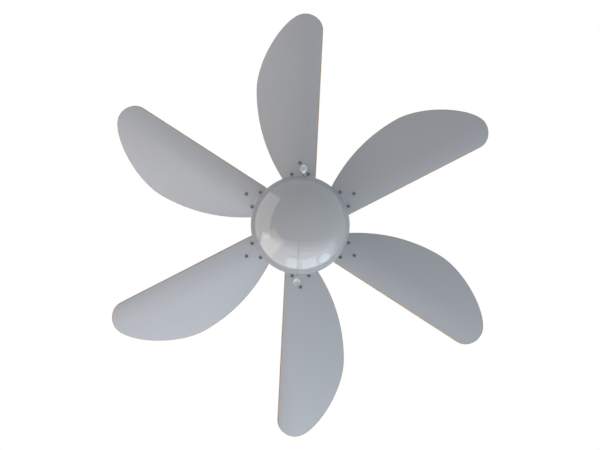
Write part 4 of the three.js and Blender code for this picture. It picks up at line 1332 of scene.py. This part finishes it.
@dataclass
class Blades:
    """The six blades with their irons and screws, which turn with the rotor.

    Attributes:
        count, first, pitch, plane: How many blades there are, the direction of the first, their
            pitch in degrees and the height of their middle.
        thickness, arris: The board's thickness, and how much of it the arris takes.
        root, corner, root_lead, root_trail: Where a blade begins, its corners, and how wide it is
            there on the leading and the trailing side.
        belly_at, belly: Where the leading edge is furthest out, and how far.
        tip_offset, tip_start, tip_trail, sweep: The rounded tip.
        screw_out, screw_pair, screw_across: The outer screw, and the inner two.
        margin: How far an iron reaches past a screw hole.
        iron_in, pad, pad_end: The iron's pad: where it begins, half its width and where it ends.
        neck, neck_at: Half the width of the iron's neck, and where it is narrowest.
        rib, rib_rise, rib_end, rib_side: The rib along the neck: its height, where it rises and
            ends, and where it falls off to the sides.
        bolt, flange, bolt_at, bolt_across: The radius and height of a bolt's head and of the
            flange under it, and where the bolts are.
        iron_pad, iron_drop, iron_thickness: The height of the pad, how far the iron drops from
            it, and its thickness.
        twist: Where the iron begins and ends its drop and its twist.
        heads: The head of a blade screw.
    """

    count: int = 6
    first: float = -90.0
    pitch: float = 12.0
    plane: float = -247.71
    thickness: float = 5.0
    arris: float = 1.0
    root: float = 79.0
    corner: float = 5.0
    root_lead: float = 29.4
    root_trail: float = 27.9
    belly_at: float = 244.2
    belly: float = 80.6
    tip_offset: float = 8.1
    tip_start: float = 348.4
    tip_trail: float = 41.7
    sweep: float = 381.0
    screw_out: float = 112.0
    screw_pair: float = 91.7
    screw_across: float = 15.2
    margin: float = 6.0
    iron_in: float = 40.0
    iron_pad: float = -234.05
    iron_drop: float = 9.0
    iron_thickness: float = 3.0
    pad: float = 13.0
    pad_end: float = 60.0
    neck: float = 8.0
    neck_at: float = 69.0
    rib: float = 1.4
    rib_rise: Point = (66.0, 72.0)
    rib_end: float = 106.0
    rib_side: Point = (1.4, 4.2)
    bolt: Point = (2.4, 2.2)
    flange: Point = (2.9, 0.6)
    bolt_at: float = 51.0
    bolt_across: float = 6.5
    twist: Point = (61.0, 77.5)
    heads: CrossHead = CrossHead(3.3, 1.9, 1.9, 9.0)

    def outline(self) -> list[Point]:
        """Draw the blade as seen from above, along +X with the curved edge towards -Y.

        Returns:
            The outline, with its corners rounded.
        """
        root, corner = self.root, self.corner
        rise = (self.tip_trail - self.root_trail) / (self.tip_start - root)
        run, out = self.belly_at - root, self.sweep - self.belly_at
        reach, last = self.belly + self.tip_offset, self.sweep - self.tip_start
        lead = bend((root, corner - self.root_lead), (root, -self.root_lead), (root, -self.root_lead),
                    (root + corner, -self.root_lead - corner * 0.654), 6)
        rounding = (self.belly - self.root_lead) * 0.654
        belly = bend(lead[-1], (root + run * 0.316, -self.root_lead - rounding),
                     (self.belly_at - run * 0.366, -self.belly), (self.belly_at, -self.belly), 24)
        tip = bend((self.belly_at, -self.belly), (self.belly_at + out * 0.429, -self.belly),
                   (self.sweep, self.tip_offset - reach * 0.379), (self.sweep, self.tip_offset), 24)
        trail = bend((self.sweep, self.tip_offset),
                     (self.sweep, self.tip_offset + (self.tip_trail - self.tip_offset) * 0.56),
                     (self.tip_start + last * 0.567, self.tip_trail + last * 0.567 * rise),
                     (self.tip_start, self.tip_trail), 14)
        end = bend((root + corner, self.root_trail + corner * rise), (root, self.root_trail),
                   (root, self.root_trail), (root, self.root_trail - corner), 6)
        return [*lead, *belly[1:], *tip[1:], *trail[1:], *end]

    def board(self) -> Form:
        """Make a flat blade: laminate faces, and bare board round the edge and on its arris.

        Returns:
            The blade, with 1 as the material number of its bare edge.
        """
        form = Form()
        low = [form.bm.verts.new((x * MM, y * MM, -self.thickness / 2 * MM)) for x, y in self.outline()]
        base = form.bm.faces.new(low)
        raised = bmesh.ops.extrude_face_region(form.bm, geom=[base])["geom"]
        bmesh.ops.translate(form.bm, vec=(0, 0, self.thickness * MM),
                            verts=[g for g in raised if isinstance(g, bmesh.types.BMVert)])
        form.welded()
        rim = [e for e in form.bm.edges if abs(e.calc_face_angle(0)) > 1.2
               and abs(e.verts[0].co.z - e.verts[1].co.z) < 1e-6]
        form.bevelled(rim, self.arris, 2)
        uv = form.bm.loops.layers.uv.new("plan")
        for face in form.bm.faces:
            face.material_index = 0 if abs(face.normal.z) > 0.98 else 1
            for loop in face.loops:
                loop[uv].uv = loop.vert.co.xy
        return form

    def half_width(self, radius: float) -> float:
        """Give half the width of an iron.

        Args:
            radius: The distance from the fan's axis.

        Returns:
            Half the width there.
        """
        margin, palm = self.margin, self.screw_across + self.margin
        knots = [(self.iron_in, self.neck), (self.iron_in + margin, self.pad), (self.pad_end, self.pad),
                 (self.neck_at, self.neck), (self.screw_pair - margin / 2, palm),
                 (self.screw_pair + margin / 2, palm), (self.screw_out + margin / 2, margin),
                 (self.screw_out + margin, margin * 0.55)]
        for (r0, w0), (r1, w1) in zip(knots, knots[1:]):
            if radius <= r1:
                return lerp(w0, w1, smoothstep(radius, r0, r1))
        return knots[-1][1]

    def iron(self) -> Form:
        """Press an iron along +X: a pad, a ribbed neck that drops and twists, and a palm.

        Returns:
            The iron.
        """
        form = Form()
        bmesh.ops.create_grid(form.bm, x_segments=64, y_segments=16, size=1)
        end, t = self.screw_out + self.margin, self.iron_thickness / 2
        for v in form.bm.verts:
            radius = lerp(self.iron_in, end, (v.co.x + 1) / 2)
            across = self.half_width(radius) * v.co.y
            turn = smoothstep(radius, *self.twist)
            rise = smoothstep(radius, *self.rib_rise)
            fall = smoothstep(radius, self.screw_pair, self.rib_end)
            height = self.rib * rise * (1 - fall) * (1 - smoothstep(abs(across), *self.rib_side)) - t
            pitch = -math.radians(self.pitch) * turn
            v.co = Vector((radius, across * math.cos(pitch) - height * math.sin(pitch),
                           self.iron_pad - self.iron_drop * turn + across * math.sin(pitch)
                           + height * math.cos(pitch))) * MM
        form.welded().facing(-1)
        bmesh.ops.solidify(form.bm, geom=form.bm.faces[:], thickness=self.iron_thickness * MM)
        return form.welded().softened(0.5, 2, 60)

    def build(self) -> None:
        """Make the irons, the blades and what holds them."""
        board, iron, head = self.board(), self.iron(), self.heads.form()
        bolt = Form.bar(*self.bolt, 6).softened(0.25, 2, 20).placed(shift(0, 0, -self.bolt[1] / 2))
        bolt.joined(Form.bar(*self.flange).placed(shift(0, 0, -self.flange[1] / 2)))
        under, low = -self.thickness / 2, self.iron_pad - self.iron_thickness / 2
        places = {"a": (self.screw_out, 0.0), "b": (self.screw_pair, -self.screw_across),
                  "c": (self.screw_pair, self.screw_across)}
        for number in range(1, self.count + 1):
            arm = turn_z(self.first + (number - 1) * 360 / self.count)
            lie = arm @ shift(0, 0, self.plane) @ Matrix.Rotation(-math.radians(self.pitch), 4, "X")
            iron.copied().placed(arm).finished(
                f"pressed_iron_{number}", Body.ROTOR, PAINT, replaces=f"blade_iron_{number}")
            board.copied().placed(lie).finished(
                f"fan_blade_{number}", Body.ROTOR, LAMINATE, BOARD, replaces=f"blade_{number}")
            for letter, (x, y) in places.items():
                turn = turn_z(37 * number + 23 * ord(letter))
                head.copied().placed(lie, shift(x, y, under), turn).finished(
                    f"cross_screw_{number}{letter}", Body.ROTOR, SCREW, RECESS_SHADE,
                    replaces=f"blade_screw_{number}{letter}")
            for side, name in ((-1, "near"), (1, "far")):
                place = shift(self.bolt_at, side * self.bolt_across, low)
                bolt.copied().placed(arm, place, turn_z(17 * number + 31 * side)).finished(
                    f"iron_bolt_{number}_{name}", Body.ROTOR, ZINC)
        for form in (board, iron, head, bolt):
            form.bm.free()


@dataclass
class Motor:
    """The fixed housing, the turning rotor in it, and the works that they hide.

    Attributes:
        top, height, radius, flat, wall: The housing, whose top is flat out to a radius.
        rounding: How far below the top its shoulder begins.
        bead, bead_up: The radius of the rolled bead at its lower edge, and the heights over that
            edge where the bead is reached, is left and ends.
        hole: The radius of its hole for the shaft.
        vents, vent_in, vent_out, vent_half: How many vents there are, where they begin and end,
            and half their width in degrees.
        vent_corner: How much of a vent's sides its rounded corners take.
        rotor, rotor_flat, rotor_top, rotor_height: The rotor, whose ends are flat out to a radius.
        rotor_hole, rotor_rounding: Its hole for the shaft, and how far its shoulder drops.
        groove, band, joint: The depth of the groove round its middle, how far that reaches from
            there, and half the gap between the shells.
        cage, cage_corner, floor: The radius of the room inside, how much its corner is cut, and
            how far its floor is from the middle.
        boss, seat, seat_depth: The boss round a bearing, the bearing's seat, and how far both
            ends are from the middle.
    """

    top: float = -159.04
    height: float = 68.0
    radius: float = 84.0
    flat: float = 54.0
    rounding: float = 25.0
    bead: float = 86.0
    bead_up: Triple = (2.5, 9.5, 12.0)
    hole: float = 7.8
    wall: float = 1.2
    vents: int = 12
    vent_in: float = 35.5
    vent_out: float = 50.5
    vent_half: float = 3.75
    vent_corner: float = 1.6
    rotor: float = 77.0
    rotor_flat: float = 66.0
    rotor_top: float = -164.24
    rotor_height: float = 68.0
    rotor_hole: float = 12.0
    rotor_rounding: float = 11.0
    groove: float = 0.8
    band: float = 8.0
    joint: float = 0.15
    cage: float = 60.9
    cage_corner: float = 3.5
    floor: float = 30.5
    boss: float = 21.85
    seat: float = 17.85
    seat_depth: float = 19.2

    def housing(self) -> None:
        """Turn the pressed housing, take out its vents, and give it its wall."""
        low = self.top - self.height
        shoulder = self.top - self.rounding
        curve = bend((self.radius, shoulder), (self.radius, shoulder + self.rounding / 2),
                     ((self.radius + self.flat) / 2, self.top), (self.flat, self.top), 18)
        reached, left, end = (low + up for up in self.bead_up)
        bead = [(self.radius, low), (self.bead, reached), (self.bead, left), (self.radius, end)]
        path = [*bead, *curve, *((r, self.top) for r in (self.vent_out, self.vent_in, self.hole))]
        form = Form.turned(path, closed=False).facing(1)
        gone = []
        for face in form.bm.faces:
            middle = face.calc_center_median() / MM
            spread = math.degrees(math.atan2(middle.y, middle.x)) % (360 / self.vents)
            across = abs(spread - 180 / self.vents)
            if self.vent_in < middle.xy.length < self.vent_out and across < self.vent_half:
                gone.append(face)
        bmesh.ops.delete(form.bm, geom=gone, context="FACES")
        vent_corners = [v for v in form.bm.verts if v.is_boundary and len(v.link_faces) == 3
                        and v.co.xy.length < self.flat * MM]
        form.bevelled(vent_corners, self.vent_corner, 4, "VERTICES")
        piece = form.finished("pressed_housing", Body.FRAME, PAINT, replaces="motor_housing", sharp=30)
        sheet = piece.modifiers.new("wall", "SOLIDIFY")
        sheet.thickness, sheet.offset = self.wall * MM, -1
        edge = piece.modifiers.new("edge", "BEVEL")
        edge.width, edge.segments, edge.limit_method = 0.3 * MM, 2, "ANGLE"
        edge.angle_limit = math.radians(50)

    def shells(self) -> None:
        """Turn the two cast shells of the rotor, with a rounded shoulder."""
        half, middle = self.rotor_height / 2, self.rotor_top - self.rotor_height / 2
        corner = half - self.rotor_rounding
        shoulder = bend((self.rotor_flat, half), (self.rotor_flat + 6, half),
                        (self.rotor, half - 5), (self.rotor, corner), 8)
        waist = self.rotor - self.groove
        profile = [(self.rotor_hole, half), *shoulder, (self.rotor, self.band),
                   (waist, self.band - self.groove), (waist, self.joint), (self.cage, self.joint),
                   (self.cage, corner), (self.cage - self.cage_corner, self.floor),
                   (self.boss, self.floor), (self.boss, self.seat_depth),
                   (self.seat, self.seat_depth), (self.seat, self.floor),
                   (self.rotor_hole, self.floor)]
        for side, name in ((1, "upper"), (-1, "lower")):
            form = Form.turned([(r, middle + side * z) for r, z in profile]).softened(0.4, 2)
            form.finished(f"cast_{name}_shell", Body.ROTOR, CAST, replaces=f"rotor_{name}_shell")

    def build(self) -> None:
        """Make the housing and the shells, and dress what is inside them."""
        self.housing()
        self.shells()
        dress_node("stator", STATOR)
        for name in ("upper_bearing", "lower_bearing", "motor_shaft", "motor_coupling", "clevis_pin"):
            dress_node(name, ZINC)


@dataclass
class Hanger:
    """The bracket, canopy, ball and rod at the ceiling, and the cover over the coupling.

    Attributes:
        canopy_radius, canopy_hole, canopy_flat: The canopy, its hole for the ball, and how far
            out its lower face is flat.
        canopy_low, canopy_rim, canopy_top: The heights of that face, of the upper end of the
            rounding and of the upper edge.
        canopy_heads, canopy_screws: The screws in its side, and their height.
        wall: The wall of the canopy and the cover.
        ball, ball_z, ball_cut: The ball's radius, its middle's height, and how far its flat lower
            and upper face are from there.
        rod, rod_wall, rod_low, rod_top: The rod.
        pin: The radius and length of the pin through ball and rod.
        play: How much room the rod has in the ball.
        cover_top, cover_low, cover_wide, cover_neck: The ends of the cover, and its radius at
            each.
        slot_at, plate_low: How far the ceiling screws are from the axis, and the lower face of
            the bracket's plate.
        ceiling_heads, washer: The ceiling screws, and the radius and height of their washers.
    """

    canopy_radius: float = 64.0
    canopy_hole: float = 17.36
    canopy_flat: float = 38.0
    canopy_low: float = -59.7
    canopy_rim: float = -16.0
    canopy_top: float = -0.5
    canopy_heads: CrossHead = CrossHead(3.4, 1.8, 1.9, 5.0)
    canopy_screws: float = -9.0
    wall: float = 1.2
    ball: float = 26.0
    ball_z: float = -33.0
    ball_cut: Point = (-21.0, 12.0)
    rod: float = 9.5
    rod_wall: float = 1.6
    rod_low: float = -149.7
    rod_top: float = -16.0
    pin: Point = (3.0, 34.0)
    play: float = 0.3
    cover_top: float = -127.7
    cover_low: float = -158.7
    cover_wide: float = 31.0
    cover_neck: float = 13.0
    slot_at: float = 42.0
    plate_low: float = -2.5
    ceiling_heads: CrossHead = CrossHead(4.2, 2.6, 2.2, 2.4)
    washer: Point = (6.0, 1.0)

    def canopy(self) -> None:
        """Turn the canopy, and put its two screws in its side."""
        rim, low, radius = self.canopy_rim, self.canopy_low, self.canopy_radius
        curve = bend((self.canopy_flat, low), (radius - 9, low), (radius, (low + rim) / 2),
                     (radius, rim), 20)
        path = [(self.canopy_hole, low), *curve, (radius, self.canopy_top)]
        Form.turned(walled(path, self.wall), 128).softened(0.4).finished(
            "turned_canopy", Body.MOUNT, PAINT, replaces="canopy")
        for number, side in enumerate((0, 180), 1):
            self.canopy_heads.into_side(
                f"canopy_screw_{number}", Body.MOUNT, side, radius, self.canopy_screws)

    def bracket(self) -> None:
        """Dress the bracket, and put the ceiling screws in its slots."""
        dress_node("hanger_bracket", ZINC)
        radius, height = self.washer
        for number, side in enumerate((-1, 1), 1):
            washer = Form.bar(radius, height, 32).softened(0.25).placed(shift(0, 0, -height / 2))
            screw = self.ceiling_heads.form().placed(shift(0, 0, -height)).joined(washer)
            screw.placed(shift(side * self.slot_at, 0, self.plate_low)).finished(
                f"ceiling_screw_{number}", Body.MOUNT, SCREW, RECESS_SHADE)

    def ball_and_rod(self) -> None:
        """Turn the ball and the rod, and put the cross pin through both."""
        low, high = self.ball_cut
        start, end = math.asin(low / self.ball), math.asin(high / self.ball)
        turns = [lerp(start, end, i / 20) for i in range(21)]
        skin = [(self.ball * math.cos(a), self.ball_z + self.ball * math.sin(a)) for a in turns]
        bore = self.rod + self.play
        ball = Form.turned([(bore, self.ball_z + low), *skin, (bore, self.ball_z + high)])
        ball.softened(0.5).finished("swivel_ball", Body.FRAME, BLACK, replaces="hanger_ball")
        inner = self.rod - self.rod_wall
        tube = Form.turned([(inner, self.rod_low), (self.rod, self.rod_low),
                            (self.rod, self.rod_top), (inner, self.rod_top)], 64).softened(0.3)
        pin = Form.bar(*self.pin, 32).softened(0.5, 2).placed(shift(0, 0, self.ball_z + high), ALONG_X)
        tube.joined(pin).finished("drop_rod", Body.FRAME, PAINT, replaces="downrod")

    def cover(self) -> None:
        """Turn the bell-shaped cover over the coupling."""
        low, top, wide, neck = self.cover_low, self.cover_top, self.cover_wide, self.cover_neck
        bell = bend((wide, low), (wide, (low + top) / 2), ((neck + wide) / 2, top), (neck, top), 18)
        Form.turned(walled([*bell, (self.rod + 2 * self.play, top)], self.wall)).softened(0.35).finished(
            "bell_cover", Body.FRAME, PAINT, replaces="coupling_cover")

    def build(self) -> None:
        """Make the whole hanger."""
        self.bracket()
        self.canopy()
        self.ball_and_rod()
        self.cover()


@dataclass
class SwitchBox:
    """The switch housing, the reversing switch in its wall and the capacitor inside.

    Attributes:
        radius, flat, top, low, wall: The housing, whose top is flat out to a radius.
        rounding: How far below the top its shoulder begins.
        hole: The radius of its hole for the shaft.
        heads, first_head, heads_up: The screws in its side, the direction of the first, and how
            far they are above the lower edge.
        slot_z: The height of the reversing switch.
        slider_y: Where its slider stands at rest.
        plate, rail, stop, knob, rib: The size of each of its blocks.
        plate_at, frame_at, knob_at, rib_at: How far their middles are from the axis, where rails
            and stops share one distance.
        rail_up, stop_out, ribs: How far rails, stops and ribs are from the middle of the frame or
            of the slider.
    """

    radius: float = 50.0
    flat: float = 41.0
    rounding: float = 9.0
    hole: float = 7.8
    top: float = -240.85
    low: float = -283.9
    wall: float = 1.2
    heads: CrossHead = CrossHead(2.6, 1.3, 1.2, 3.0)
    first_head: float = 40.0
    heads_up: float = 4.5
    slot_z: float = -261.4
    slider_y: float = -2.5
    plate: Triple = (1.2, 22.0, 12.0)
    plate_at: float = 49.6
    frame_at: float = 50.5
    rail: Triple = (0.9, 13.4, 1.1)
    rail_up: Point = (-2.9, 2.9)
    stop: Triple = (0.9, 1.1, 6.9)
    stop_out: Point = (-6.2, 6.2)
    knob: Triple = (4.4, 5.4, 3.6)
    knob_at: float = 50.4
    rib: Triple = (0.7, 0.7, 3.6)
    rib_at: float = 52.25
    ribs: tuple[float, ...] = (-1.8, -0.6, 0.6, 1.8)

    def shell(self) -> None:
        """Turn the housing, and put three screws in its side."""
        drop = self.rounding
        curve = bend((self.radius, self.top - drop), (self.radius, self.top - drop / 2),
                     ((self.radius + self.flat) / 2, self.top), (self.flat, self.top), 10)
        path = [(self.radius, self.low), *curve, (self.hole, self.top)]
        Form.turned(walled(path, self.wall)).softened(0.35).finished(
            "switch_bowl", Body.FRAME, PAINT, replaces="switch_housing")
        for number in range(3):
            self.heads.into_side(f"housing_screw_{number + 1}", Body.FRAME,
                                 self.first_head + 120 * number, self.radius, self.low + self.heads_up)

    def reverse(self) -> None:
        """Make the reversing switch's frame and its ribbed slider."""
        z, y = self.slot_z, self.slider_y
        base = Form.block(self.plate, (self.plate_at, 0, z), 0.4)
        rails = [Form.block(self.rail, (self.frame_at, 0, z + up), 0.3) for up in self.rail_up]
        stops = [Form.block(self.stop, (self.frame_at, out, z), 0.3) for out in self.stop_out]
        base.joined(*rails, *stops).finished("reverse_frame", Body.FRAME, BLACK)
        knob = Form.block(self.knob, (self.knob_at, y, z), 0.4)
        ribs = [Form.block(self.rib, (self.rib_at, y + out, z), 0.2) for out in self.ribs]
        knob.joined(*ribs).finished("ribbed_slider", Body.REVERSE, WHITE, replaces="reverse_slider")

    def build(self) -> None:
        """Make the housing and its switch, and dress the capacitor."""
        self.shell()
        self.reverse()
        dress_node("capacitor", BLACK)


def main() -> None:
    """Build the fan, piece by piece."""
    logging.basicConfig(level=logging.INFO, format="%(name)s: %(message)s")
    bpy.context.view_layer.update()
    chains = (PullChain("light", Body.LIGHT_PULL, 93.5), PullChain("fan", Body.FAN_PULL, 273.5))
    for group in (Camera(), *chains, Studio(), Light(), Blades(), Motor(), Hanger(), SwitchBox()):
        group.build()


if __name__ == "__main__":
    main()
